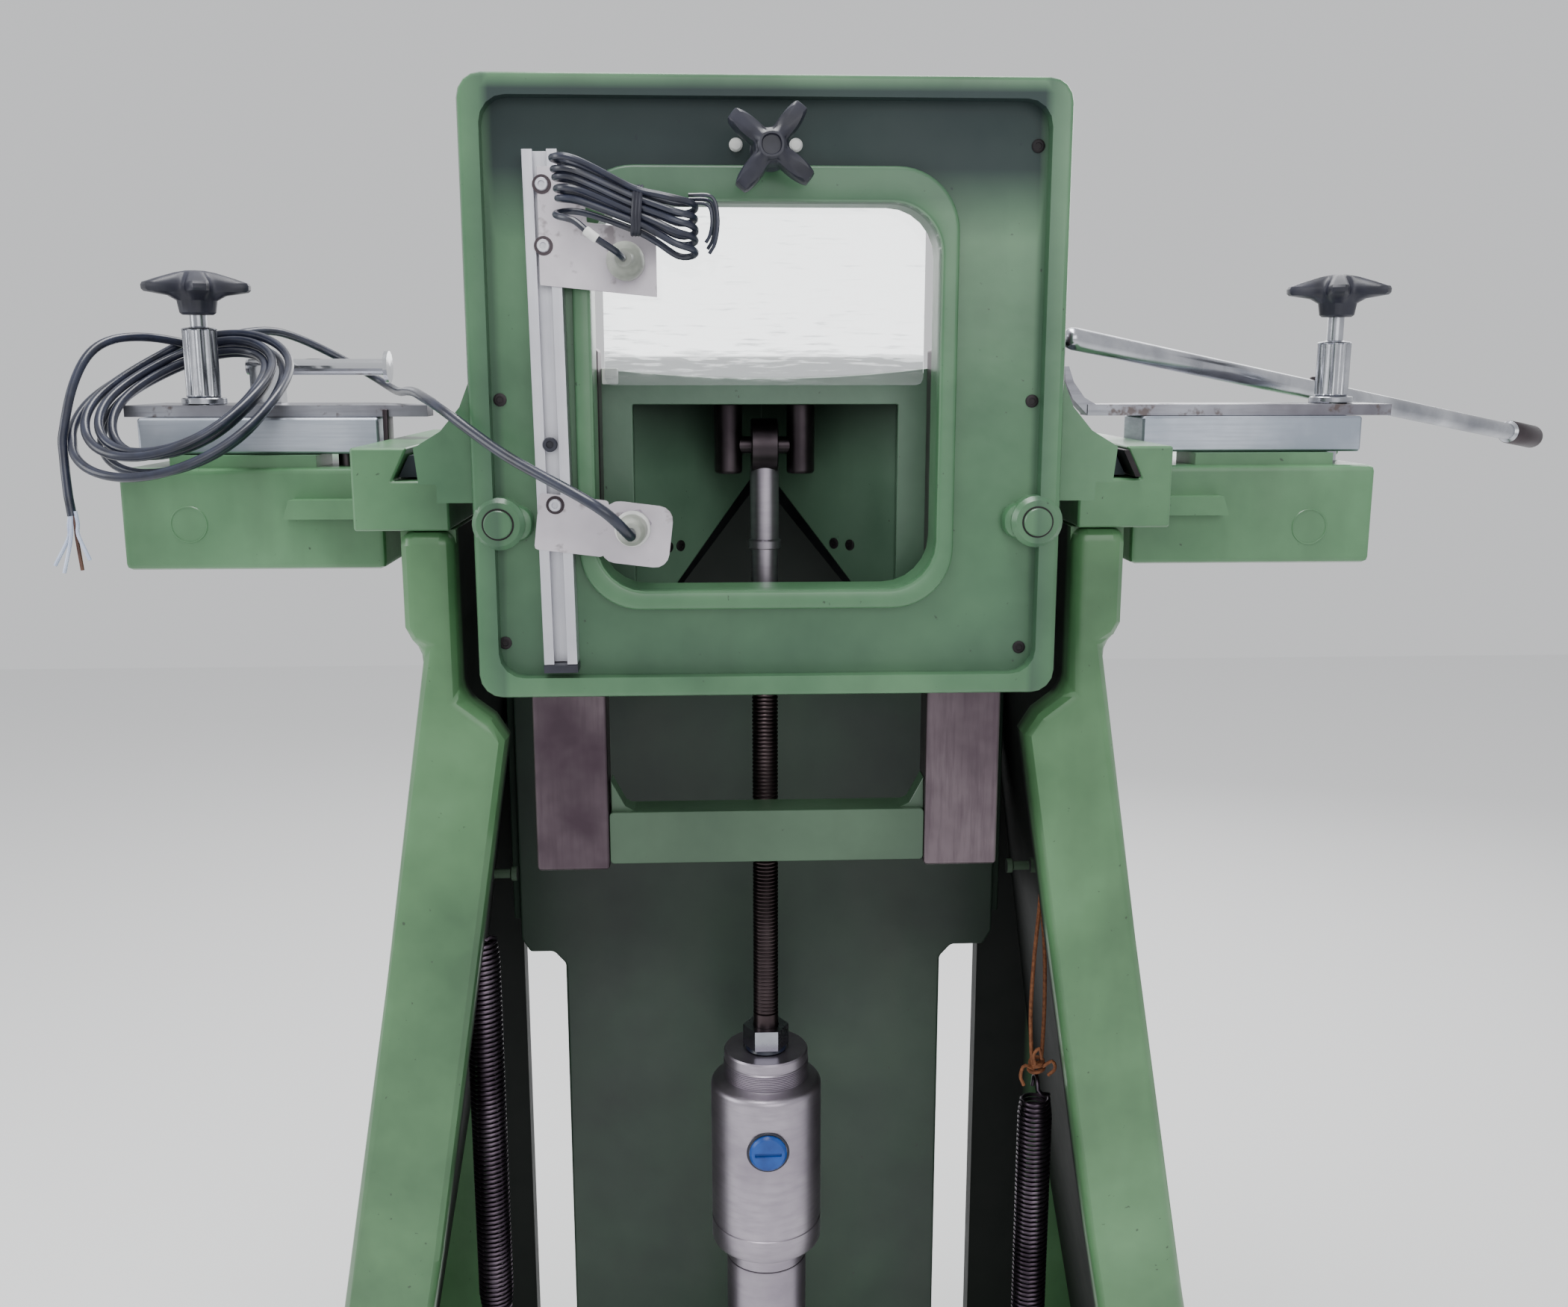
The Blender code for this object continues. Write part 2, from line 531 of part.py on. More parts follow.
MID = (0, ROD_Y, 0)
head = turned("cylinder_head", [(0.0092, 0.430), (0.0265, 0.430), (0.0265, 0.441),
                                (0.0350, 0.4425), (0.0365, 0.445), (0.0365, 0.4585),
                                (0.0358, 0.4592), (0.0358, 0.4602), (0.0365, 0.461),
                                (0.0365, 0.5545), (0.0350, 0.5575), (0.0290, 0.5590),
                                (0.0280, 0.5605), (0.0280, 0.5775), (0.0268, 0.5790),
                                (0.0092, 0.5790)], CYL, MID, steps=32)
cut(head, bore(0.0115, -0.046, -0.025, (0, ROD_Y, 0.5235), (0, 1, 0)))
settle(head, CYLINDER)
plug = turned("port_plug", [(0, -0.0405), (0.0105, -0.0405), (0.0122, -0.0385),
                            (0.0122, -0.0370), (0.0112, -0.0368), (0.0112, -0.0255),
                            (0, -0.0255)], BLUE, (0, ROD_Y, 0.5235), (0, 1, 0))
cut(plug, box("slot", (-0.0085, 0.0085), (ROD_Y - 0.05, ROD_Y - 0.0388), (0.5224, 0.5246), BLUE))
settle(plug, CYLINDER)
barrel = turned("cylinder_barrel", [(0.0235, 0.1850), (BARREL_R, 0.1850), (BARREL_R, 0.4297),
                                    (0.0235, 0.4297)], CYL, MID, steps=32)
settle(barrel, CYLINDER)
end = turned("cylinder_end_cap", [(0, 0.1500), (0.0330, 0.1500), (0.0350, 0.1520),
                                  (0.0350, 0.1830), (0.0330, 0.1847), (0, 0.1847)], CYL, MID,
             steps=32)
tang = prism("tang", [(ROD_Y - 0.016, 0.155), (ROD_Y - 0.016, PIVOT_Z), (ROD_Y - 0.013, 0.121),
                      (ROD_Y - 0.006, 0.1155), (ROD_Y + 0.006, 0.1155), (ROD_Y + 0.013, 0.121),
                      (ROD_Y + 0.016, PIVOT_Z), (ROD_Y + 0.016, 0.155)], -0.0095, 0.0095, CYL, "x")
join(end, tang)
cut(end, bore(0.0066, -0.03, 0.03, (0, ROD_Y, PIVOT_Z), "x"))
settle(end, CYLINDER)
bracket = box("pivot_bracket", (-0.045, 0.045), (ROD_Y - 0.003, ROD_Y + 0.060), (0.104, 0.1105),
              GREEN)
for side in (-1, 1):
    cheek = prism("cheek", [(ROD_Y - 0.020, 0.104), (ROD_Y + 0.030, 0.104), (ROD_Y + 0.014, 0.138),
                            (ROD_Y + 0.008, 0.145), (ROD_Y - 0.008, 0.145),
                            (ROD_Y - 0.014, 0.138), (ROD_Y - 0.020, 0.125)],
                  *sorted((side * 0.0105, side * 0.0225)), GREEN, "x")
    join(bracket, cheek)
cut(bracket, bore(0.0066, -0.03, 0.03, (0, ROD_Y, PIVOT_Z), "x"))
settle(bracket, MACHINE)
settle(cylinder("base_pivot_pin", 0.0060, -0.0270, 0.0270, BRIGHT, (0, ROD_Y, PIVOT_Z), "x"),
       MACHINE)

rod = turned("piston_rod", [(0, 0.2000), (0.0230, 0.2000), (0.0230, 0.2250), (0.0082, 0.2260),
                            (0.0082, 0.9100), (0, 0.9100)], STEEL, MID)
settle(rod, ROD)
nut = prism("lock_nut", [(0.0150 * math.cos(math.radians(60 * i)),
                          ROD_Y + 0.0150 * math.sin(math.radians(60 * i))) for i in range(6)],
            0.5815, 0.5950, DARK_STEEL, "z")
cut(nut, bore(0.0085, 0.57, 0.61, MID))
settle(nut, ROD)
eye = turned("rod_eye", [(0, 0.9103), (0.0110, 0.9103), (0.0118, 0.9120), (0.0118, 0.9560),
                         (0.0118, 0.9600), (0, 0.9600)], DARK_STEEL, MID)
ring = prism("ring", [(ROD_Y - 0.0125, 0.945), (ROD_Y + 0.0125, 0.945), (ROD_Y + 0.0150, 0.965),
                      (ROD_Y + 0.0145, 0.983), (ROD_Y + 0.008, 0.989), (ROD_Y - 0.008, 0.989),
                      (ROD_Y - 0.0145, 0.983), (ROD_Y - 0.0150, 0.965)], -0.0105, 0.0105,
             DARK_STEEL, "x")
slot = prism("slot", rounded((ROD_Y - 0.0100, ROD_Y + 0.0100), (CLEVIS_Z - 0.0085,
             CLEVIS_Z + 0.0085), 0.0075, 4), -0.03, 0.03, DARK_STEEL, "x")
cut(join(eye, ring), slot)
settle(eye, ROD)

# ------------------------------------------------------------------ springs on the side frames

for side, word, top in ((-1, "left", 0.648), (1, "right", 0.525)):
    x = side * 0.189
    turns = 16
    pitch = 0.280 / turns
    rings = []
    for i in range(turns):
        rings += [(0.0105, top - 0.28 + pitch * i), (0.0122, top - 0.28 + pitch * (i + 0.5))]
    coil = turned(f"spring_{word}", [(0, top - 0.28)] + rings + [(0, top)], DARK_STEEL,
                  (x, 0.123, 0), steps=12)
    eye_top = 0.6985 if side < 0 else top + 0.013
    hook = prism("hook", rounded((0.1130, 0.1330), (top - 0.006, eye_top), 0.0095, 4),
                 x - 0.0016, x + 0.0016, DARK_STEEL, "x")
    eye = prism("eye", rounded((0.1162, 0.1298), (top + 0.0005, eye_top - 0.0032), 0.0058, 4),
                x - 0.01, x + 0.01, DARK_STEEL, "x")
    settle(join(coil, cut(hook, eye)), MACHINE)

# ------------------------------------------------------------------ fences and clamps

for side, word in ((-1, "left"), (1, "right")):
    bar_inner = 0.249 if side > 0 else 0.244
    outline = [(bar_inner, 0.145), (0.395, 0.145), (0.395, 0.205), (0.262, 0.205),
               (0.249, 0.190)]
    bar = prism(f"fence_bar_{word}", flip(outline, side), 0.9650, 0.9880, ALU, "z")
    soften(bar, 0.0014, 1)
    end = 0.417 if side > 0 else 0.405
    rear = 0.196 if side > 0 else 0.226
    strip = [(0.214, 0.152), (end, 0.152), (end, rear), (0.262, rear), (0.214, 0.172)]
    plate = prism(f"fence_plate_{word}", flip(strip, side), 0.9883, 0.9955, IRON, "z")
    curl = [(0.2010, 1.020), (0.2045, 1.010), (0.212, 1.000), (0.224, 0.993), (0.224, 0.9893),
            (0.214, 0.9889), (0.2040, 0.9990), (0.1990, 1.010), (0.1980, 1.020)]
    if side > 0:
        join(plate, prism("curl", flip(curl[::-1], side), 0.1535, 0.170, IRON))
    reach = Vector(PILLARS[side]) - Vector(FENCE_PIVOT)
    radius = reach.length
    base = math.atan2(reach.y, reach.x)
    margin = math.degrees(0.0064 / radius)
    arc = []
    for r, spin in ((radius + 0.0068, 1), (radius - 0.0068, -1)):
        for i in range(9):
            t = i / 8 if spin > 0 else 1 - i / 8
            a = base + math.radians(margin - (2 * margin + FENCE_SWING[side]) * t)
            arc.append((FENCE_PIVOT[0] + r * math.cos(a), FENCE_PIVOT[1] + r * math.sin(a)))
    for piece, low, high in ((bar, 0.95, 1.0), (plate, 0.97, 1.01)):
        slot = prism("slot", flip(arc, side), low, high, GREEN, "z")
        hole = bore(0.0055, low, high, (side * FENCE_PIVOT[0], FENCE_PIVOT[1], 0))
        cut(piece, slot, hole)
        settle(piece, FENCES[side])
    pin = turned(f"fence_pivot_{word}", [(0, 0.9000), (0.0050, 0.9000), (0.0050, 0.9950),
                                         (0, 0.9950)], DARK_STEEL, (side * FENCE_PIVOT[0], FENCE_PIVOT[1], 0), steps=18)
    settle(pin, MACHINE)
    height = 1.036 if side > 0 else 1.044
    pillar = turned(f"clamp_pillar_{word}",
                    [(0, 0.9000), (0.0060, 0.9000), (0.0060, 0.9957), (0.0140, 0.9959),
                     (0.0140, 1.0000), (0.0110, 1.0001), (0.0110, height), (0.0052, height + 0.001),
                     (0.0052, 1.0520), (0.0, 1.0520)],
                    BRIGHT, (side * PILLARS[side][0], PILLARS[side][1], 0), steps=24)
    settle(pillar, MACHINE)
    star = turned(f"star_knob_{word}", [(0, 1.0523), (0.0150, 1.0523), (0.0170, 1.0560),
                                        (0.0300, 1.0580), (KNOB_R, 1.0610), (KNOB_R, 1.0740),
                                        (0.0310, 1.0780), (0.0120, 1.0800), (0, 1.0800)], BLACK,
                  (side * PILLARS[side][0], PILLARS[side][1], 0), steps=40, flutes=(5, 0.22))
    settle(star, KNOBS[side])
stop = turned("stop_rod", [(0, -0.345), (0.0052, -0.345), (0.0055, -0.3435), (0.0055, -0.2530),
                           (0.0108, -0.2528), (0.0108, -0.2500), (0, -0.2498)], BRIGHT,
              (0, 0.215, 1.0195), (1, 0, 0), 18)
post = box("post", (-0.342, -0.322), (0.2080, 0.2220), (0.9958, 1.0195), BRIGHT)
settle(join(stop, post), FENCES[-1])

# ------------------------------------------------------------------ hand lever

tip = Vector(LEVER_TIP)
span = (Vector(LEVER_END) - tip).length
along = (Vector(LEVER_END) - tip).normalized()
lever = turned("hand_lever", [(0, 0.0), (0.0045, 0.0012), (0.0066, 0.0050), (0.0068, 0.0100),
                              (0.0068, span - 0.0460), (0.0092, span - 0.0440),
                              (0.0095, span - 0.0040), (0.0070, span), (0, span)], BRIGHT, tip,
               tuple(along), 20)
collar = turned("collar", [(0, -0.0111), (0.0100, -0.0111), (0.0100, 0.0111), (0, 0.0111)],
                DARK_STEEL, LEVER_PIVOT)
lever = cut(join(lever, collar), bore(0.0056, 0.93, 1.03, (*LEVER_PIVOT[:2], 0)))
settle(lever, LEVER)
bracket = soften(box("lever_bracket", (0.374, 0.4180), (0.2310, 0.2740), (0.9573, 0.9655),
                     DARK_GREEN), 0.0015, 1)
post = turned("post", [(0, 0.9600), (0.0080, 0.9600), (0.0080, 0.9885), (0, 0.9885)], DARK_GREEN,
              (*LEVER_PIVOT[:2], 0))
bracket = cut(join(bracket, post), bore(0.0056, 0.90, 1.02, (*LEVER_PIVOT[:2], 0)))
settle(bracket, MACHINE)
settle(cylinder("lever_pin", 0.0050, 0.9580, 1.0175, BRIGHT, (*LEVER_PIVOT[:2], 0)), MACHINE)

# ------------------------------------------------------------------ flexible leads and twine

HANK = [(-0.112, 1.118), (-0.100, 1.128), (-0.078, 1.118), (-0.052, 1.104), (-0.032, 1.099),
        (-0.026, 1.088), (-0.030, 1.076), (-0.046, 1.072), (-0.066, 1.080), (-0.088, 1.084),
        (-0.106, 1.098)]
settle(prism("switch_lead_hank", HANK, -0.058, -0.034, CABLE), SADDLE)
LEAD = [(-0.0745, -0.0416, 0.9345), (-0.0745, -0.056, 0.9350), (-0.085, -0.067, 0.948),
        (-0.108, -0.056, 0.960), (-0.136, -0.038, 0.973), (-0.158, -0.020, 0.986),
        (-0.1775, -0.004, 0.9985), (-0.193, 0.030, 1.006), (-0.208, 0.084, 1.008),
        (-0.226, 0.150, 1.007), (-0.247, 0.222, 1.010), (-0.266, 0.239, 1.018),
        (-0.292, 0.236, 1.029), (-0.318, 0.227, 1.040), (-0.336, 0.220, 1.044)]
settle(tube("lower_switch_lead", smooth_path(LEAD, 0.0075), WIRE_R, CABLE), MACHINE)
COIL = Vector((-0.3625, 0.134, 0.998))
coil = turned("lead_coil", [(0.0465, -0.0085), (0.0560, -0.0105), (0.0600, 0.0), (0.0560, 0.0105),
                            (0.0465, 0.0085), (0.0435, 0.0)], CABLE, COIL, (-0.12, -0.70, 0.70), 40)
for vert in coil.data.vertices:
    rise = min(max((vert.co.z - 0.992) / 0.038, 0.0), 1.0)
    vert.co.y += 0.032 * rise * rise * (3 - 2 * rise)
settle(coil, MACHINE)
TAIL = [(-0.4170, 0.148, 1.0330), (-0.4262, 0.132, 1.010), (-0.4285, 0.118, 0.980),
        (-0.4265, 0.110, 0.952), (-0.4240, 0.108, 0.930)]
settle(tube("lead_tail", smooth_path(TAIL, 0.0075), WIRE_R, CABLE), MACHINE)
STRING = [(0.1870, 0.123, 0.6830), (0.1880, 0.1235, 0.640), (0.1888, 0.1232, 0.590),
          (0.1890, 0.123, 0.5402)]
settle(tube("spring_twine", smooth_path(STRING, 0.0060), 0.0016, TWINE), MACHINE)
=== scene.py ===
"""Looks of a pneumatic mitre guillotine for picture-frame mouldings.

Places are in the machine's own frame: x runs to the operator's right, y away from the
operator, z up, and y = 0 is the front face of the saddle. SHIFT takes them to the row
frame. Metres throughout.
"""
import math

import bmesh
import bpy
import numpy as np
from mathutils import Matrix, Vector


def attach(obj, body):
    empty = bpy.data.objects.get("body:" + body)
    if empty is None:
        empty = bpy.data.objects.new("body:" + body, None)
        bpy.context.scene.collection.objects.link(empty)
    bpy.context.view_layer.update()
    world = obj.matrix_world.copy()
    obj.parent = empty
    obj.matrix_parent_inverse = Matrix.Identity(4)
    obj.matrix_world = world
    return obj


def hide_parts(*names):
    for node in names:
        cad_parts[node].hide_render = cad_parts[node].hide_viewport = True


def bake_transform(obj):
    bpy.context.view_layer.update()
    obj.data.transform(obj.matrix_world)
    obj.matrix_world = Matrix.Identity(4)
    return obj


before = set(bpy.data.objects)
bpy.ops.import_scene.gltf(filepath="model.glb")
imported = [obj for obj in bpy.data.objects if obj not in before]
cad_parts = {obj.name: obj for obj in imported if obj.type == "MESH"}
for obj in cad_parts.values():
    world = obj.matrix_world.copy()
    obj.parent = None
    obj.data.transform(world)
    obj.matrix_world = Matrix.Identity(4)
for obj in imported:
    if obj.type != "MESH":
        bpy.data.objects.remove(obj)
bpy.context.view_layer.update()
SHIFT = Vector((-0.1325, -0.1907, 0.0))
X, Y, Z = 0, 1, 2
UP = (0, 0, 1)
FRONT = (0, -1, 0)

# -------- camera

camera_data = bpy.data.cameras.new("camera")
camera_data.sensor_width = 36.0
camera_data.lens = 33.3
camera = bpy.data.objects.new("camera", camera_data)
camera.location = Vector((-0.030, -0.800, 1.020)) + SHIFT
camera.rotation_euler = (math.radians(78.8), 0.0, math.radians(-2.7))
bpy.context.scene.collection.objects.link(camera)
bpy.context.scene.camera = camera

# -------- materials


class Nodes:
    """A material under construction: add() makes a node, wire() joins two sockets."""

    def __init__(self, name):
        self.material = bpy.data.materials.new(name)
        self.material.use_nodes = True
        self.tree = self.material.node_tree
        self.shader = self.tree.nodes["Principled BSDF"]
        self.place = self.add("ShaderNodeTexCoord").outputs["Object"]

    def add(self, kind, **values):
        """A new node of a kind, with its settings."""
        node = self.tree.nodes.new(kind)
        for key, value in values.items():
            setattr(node, key, value)
        return node

    def wire(self, start, end):
        """Join an output socket to an input socket."""
        self.tree.links.new(start, end)

    def noise(self, scale, detail, stretch=(1, 1, 1)):
        """Fractal noise, finer where the stretch is larger."""
        mapping = self.add("ShaderNodeMapping")
        mapping.inputs["Scale"].default_value = stretch
        self.wire(self.place, mapping.inputs["Vector"])
        node = self.add("ShaderNodeTexNoise")
        node.inputs["Scale"].default_value = scale
        node.inputs["Detail"].default_value = detail
        node.inputs["Roughness"].default_value = 0.55
        self.wire(mapping.outputs["Vector"], node.inputs["Vector"])
        return node.outputs["Fac"]

    def ramp(self, value, stops):
        """Colours of a 0..1 value, from (position, colour) stops."""
        node = self.add("ShaderNodeValToRGB")
        band = node.color_ramp
        while len(band.elements) < len(stops):
            band.elements.new(0.5)
        for element, (position, colour) in zip(band.elements, stops):
            element.position = position
            element.color = (*colour, 1.0)
        self.wire(value, node.inputs["Fac"])
        return node.outputs["Color"]

    def mix(self, factor, first, second):
        """The first colour where the factor is 0, the second where it is 1."""
        node = self.add("ShaderNodeMix", data_type="RGBA")
        self.wire(factor, node.inputs[0])
        for value, socket in ((first, node.inputs[6]), (second, node.inputs[7])):
            if isinstance(value, tuple):
                socket.default_value = (*value, 1.0)
            else:
                self.wire(value, socket)
        return node.outputs[2]

    def spread(self, value, low, high, start=0.0, end=1.0):
        """Map a value from start..end to low..high."""
        node = self.add("ShaderNodeMapRange")
        for key, number in (("From Min", start), ("From Max", end), ("To Min", low),
                            ("To Max", high)):
            node.inputs[key].default_value = number
        self.wire(value, node.inputs["Value"])
        return node.outputs["Result"]

    def math(self, how, first, second):
        """One sum of a socket with a socket or a number."""
        node = self.add("ShaderNodeMath", operation=how)
        self.wire(first, node.inputs[0])
        if isinstance(second, float):
            node.inputs[1].default_value = second
        else:
            self.wire(second, node.inputs[1])
        return node.outputs[0]

    def both(self, *masks):
        """The product of the masks."""
        product = masks[0]
        for mask in masks[1:]:
            product = self.math("MULTIPLY", product, mask)
        return product

    def either(self, *masks):
        """The strongest of the masks."""
        most = masks[0]
        for mask in masks[1:]:
            most = self.math("MAXIMUM", most, mask)
        return most

    def along(self, axis):
        """Machine coordinate along an axis."""
        split = self.add("ShaderNodeSeparateXYZ")
        self.wire(self.place, split.inputs[0])
        return self.math("SUBTRACT", split.outputs[axis], float(SHIFT[axis]))

    def aside(self):
        """Distance from the machine's middle plane."""
        return self.math("ABSOLUTE", self.along(X), 0.0)

    def zone(self, axis, low, high, soft=0.004):
        """1 between two machine coordinates; along x both sides of the middle count."""
        value = self.aside() if axis == X else self.along(axis)
        rise = self.spread(value, 0.0, 1.0, low - soft, low + soft)
        return self.both(rise, self.spread(value, 1.0, 0.0, high - soft, high + soft))

    def normal(self, axis):
        """The surface normal's share along an axis."""
        split = self.add("ShaderNodeSeparateXYZ")
        self.wire(self.add("ShaderNodeNewGeometry").outputs["Normal"], split.inputs[0])
        return split.outputs[axis]

    def inward(self):
        """1 on faces that look towards the machine's middle plane."""
        side = self.math("MULTIPLY", self.normal(X), self.along(X))
        return self.spread(side, 1.0, 0.0, -0.14, -0.08)

    def finish(self, colour, rough, metallic=0.0, bump=None, depth=0.0002, strength=0.5):
        """Wire the colour, roughness and bump, and give the material."""
        self.wire(colour, self.shader.inputs["Base Color"])
        self.wire(rough, self.shader.inputs["Roughness"])
        self.shader.inputs["Metallic"].default_value = metallic
        if bump is not None:
            node = self.add("ShaderNodeBump")
            node.inputs["Distance"].default_value = depth
            node.inputs["Strength"].default_value = strength
            self.wire(bump, node.inputs["Height"])
            self.wire(node.outputs["Normal"], self.shader.inputs["Normal"])
        return self.material


def tone(red, green, blue):
    """Linear colour from display values of 0 to 255."""
    return tuple((c / 255 / 12.92) if c <= 10 else ((c / 255 + 0.055) / 1.055) ** 2.4
                 for c in (red, green, blue))


def paint(name, light, middle, dark, rough=(0.30, 0.48), grime=0.35, shade_and_grease=None,
          shade_and_grease_colour=tone(20, 24, 22)):
    """Brushed machine enamel over cast iron: uneven colour, oily dust, a hammered skin.

    The optional mask function gives the places of painted shade, and of grease where a part has it,
    laid on in its own dark colour and made duller."""
    n = Nodes(name)
    coat = n.ramp(n.noise(7.0, 5.0), [(0.32, dark), (0.5, middle), (0.70, light)])
    drips = n.noise(16.0, 4.0, (1.0, 1.0, 0.22))
    coat = n.mix(n.spread(drips, 0.0, grime, 0.52, 0.78), coat, tone(52, 66, 50))
    specks = n.noise(230.0, 2.0)
    coat = n.mix(n.spread(specks, 0.0, 0.7, 0.735, 0.78), coat, tone(40, 44, 38))
    n.shader.inputs["Coat Weight"].default_value = 0.25
    n.shader.inputs["Coat Roughness"].default_value = 0.20
    gloss = n.spread(n.noise(30.0, 3.0), *rough)
    # Painted shade, and grease where a part has it: the mask's places take the dark colour, rougher
    # and without coat.
    if shade_and_grease:
        mask = shade_and_grease(n)
        coat = n.mix(mask, coat, shade_and_grease_colour)
        gloss = n.math("ADD", gloss, n.spread(mask, 0.0, 0.30))
        n.wire(n.spread(mask, 0.25, 0.0), n.shader.inputs["Coat Weight"])
    return n.finish(coat, gloss, 0.0, n.noise(120.0, 2.0), 0.0005, 0.30)


def frame_shade_and_studs(n):
    """Painted shade on the faces looking inward and on the fronts of the rear flanges; the springs'
    studs darkened too.
    """
    inner = n.both(n.inward(), n.zone(Y, 0.066, 0.40))
    flange = n.both(n.zone(X, -1.0, 0.235), n.zone(Y, 0.335, 0.352, 0.001),
                    n.spread(n.normal(Y), 1.0, 0.0, -0.8, -0.4))
    stud = n.both(n.zone(Y, 0.104, 0.142, 0.001), n.zone(Z, 0.676, 0.704, 0.001),
                  n.spread(n.zone(X, -1.0, 0.2085, 0.001), 0.0, 0.80))
    return n.either(inner, flange, stud)


def saddle_shade_and_grease(n):
    """Painted shade under the plate's top, low in the recess, along the rim's top and on its rounded
    sides; greasy slides behind the plate, with painted shade in their slots; the lip's top a little
    darker.
    """
    # Bare slides dark with grease, and with painted shade in the slots behind the plate.
    slides = n.both(n.zone(Y, 0.050, 0.30), n.zone(X, 0.157, 0.25))
    front = n.zone(Y, -0.10, 0.0125, 0.001)
    between = n.zone(X, -1.0, 0.150)
    recess = n.both(n.zone(Y, 0.007, 0.0125, 0.001), between)
    # Painted shade under the plate's top, stronger upwards.
    high = n.both(recess, n.spread(n.along(Z), 0.0, 0.92, 1.086, 1.124))
    # Painted shade low in the recess, below the bosses.
    low = n.both(recess, n.spread(n.along(Z), 0.34, 0.0, 0.860, 0.925))
    # Painted shade on the rim's top band.
    rim = n.both(front, between, n.spread(n.zone(Z, 1.148, 1.1645, 0.003), 0.0, 0.90))
    # Painted shade on the rim's sides, deepest at their inner edge where they round over.
    sides = n.both(front, n.spread(n.aside(), 0.40, 0.0, 0.1490, 0.1600),
                   n.spread(n.aside(), 0.0, 1.0, 0.1455, 0.1490))
    # The lip's top band a little darker.
    lip = n.both(n.zone(Y, -0.10, 0.0060, 0.001), n.zone(X, -1.0, 0.108),
                 n.spread(n.zone(Z, 1.104, 1.132, 0.004), 0.0, 0.30))
    return n.either(slides, high, low, rim, sides, lip)


def block_painted_shade(n):
    """Painted shade in the knives' hollow, deepening towards the top."""
    inside = n.zone(Y, 0.0675, 0.30, 0.002)
    return n.both(inside, n.spread(n.along(Z), 0.12, 0.80, 0.955, 0.999))


def column_darkening(n):
    """Painted shade on the column's front behind the knives, and a darker band below the bars."""
    band = n.spread(n.zone(Z, 0.560, 0.745, 0.035), 0.10, 0.42)
    behind = n.both(n.zone(Z, 0.845, 1.0, 0.010), n.zone(X, -1.0, 0.090),
                    n.zone(Y, 0.20, 0.270, 0.002))
    return n.either(band, n.spread(behind, 0.0, 0.85))


def metal(name, light, dark, rough, stretch=(1, 1, 1), scale=40.0, depth=0.0001,
          spots=None, metallic=1.0):
    """Steel or aluminium with machining marks along one way and darker patches."""
    n = Nodes(name)
    grain = n.noise(scale, 4.0, stretch)
    patches = n.noise(14.0, 4.0)
    colour = n.mix(n.spread(patches, 0.0, 1.0, 0.35, 0.68), light, dark)
    colour = n.mix(n.spread(grain, 0.0, 0.5, 0.45, 0.75), colour, dark)
    if spots:
        colour = n.mix(n.spread(n.noise(90.0, 3.0), 0.0, 0.8, 0.60, 0.68), colour, spots)
    return n.finish(colour, n.spread(grain, *rough), metallic, grain, depth, 0.35)


def plastic(name, light, dark, rough, scale=60.0, depth=0.00012, coat=0.0):
    """Moulded plastic or twine, in two tones with a fine grain."""
    n = Nodes(name)
    colour = n.mix(n.spread(n.noise(scale, 3.0), 0.0, 1.0, 0.35, 0.7), light, dark)
    if coat:
        n.shader.inputs["Coat Weight"].default_value = coat
        n.shader.inputs["Coat Roughness"].default_value = 0.15
    return n.finish(colour, n.spread(n.noise(25.0, 3.0), *rough), 0.0, n.noise(300.0, 2.0), depth,
                    0.25)


def clear(name):
    """Acrylic sheet, scratched and a little dusty."""
    n = Nodes(name)
    n.shader.inputs["Transmission Weight"].default_value = 0.94
    n.shader.inputs["IOR"].default_value = 1.46
    scratch = n.noise(60.0, 4.0, (1.0, 1.0, 9.0))
    colour = n.mix(n.spread(scratch, 0.0, 1.0, 0.60, 0.80), tone(244, 247, 247),
                   tone(206, 210, 212))
    return n.finish(colour, n.spread(scratch, 0.03, 0.30, 0.50, 0.80))


# The frame, saddle, column and knife-block paints lay painted shade from their masks; the saddle's
# mask also holds grease on its slides.
GREEN = paint("hammered_green_paint", tone(98, 144, 100), tone(80, 123, 82), tone(60, 98, 64),
              shade_and_grease=frame_shade_and_studs)
ARM_GREEN = paint("table_green_paint", tone(98, 144, 104), tone(81, 125, 87), tone(62, 102, 70))
SADDLE_GREEN = paint("saddle_green_paint", tone(92, 136, 98), tone(76, 118, 84),
                     tone(56, 96, 66), (0.26, 0.42), 0.30, saddle_shade_and_grease, tone(24, 36, 44))
COLUMN_GREEN = paint("dark_green_paint", tone(50, 78, 57), tone(38, 63, 47),
                     tone(26, 46, 36), (0.32, 0.5), 0.5, column_darkening)
BLOCK_GREEN = paint("knife_block_paint", tone(96, 126, 104), tone(78, 108, 87),
                    tone(60, 88, 70), (0.28, 0.44), 0.3, block_painted_shade)
CROSS_GREEN = paint("crossbar_paint", tone(76, 104, 80), tone(62, 88, 66), tone(48, 70, 54),
                    (0.28, 0.44))
GROUND = metal("ground_steel", tone(118, 106, 112), tone(76, 64, 72), (0.30, 0.50),
               (6.0, 1.0, 0.5), 60.0)
BRIGHT = metal("bright_steel", tone(206, 208, 214), tone(140, 142, 150), (0.16, 0.34),
               (1, 1, 1), 50.0, 0.00004)
DARK_STEEL = metal("oiled_steel", tone(92, 84, 88), tone(50, 44, 48), (0.28, 0.46))
KNIFE = metal("oily_knife_steel", tone(78, 78, 84), tone(40, 40, 44), (0.34, 0.55))
THREAD = metal("oily_thread", tone(96, 84, 86), tone(50, 42, 44), (0.26, 0.42))
SPRING = metal("spring_wire", tone(110, 98, 110), tone(60, 50, 60), (0.28, 0.44))
ALU = metal("anodised_aluminium", tone(226, 226, 232), tone(200, 200, 208), (0.34, 0.50),
            (8.0, 1.0, 0.3), 70.0, 0.00003)
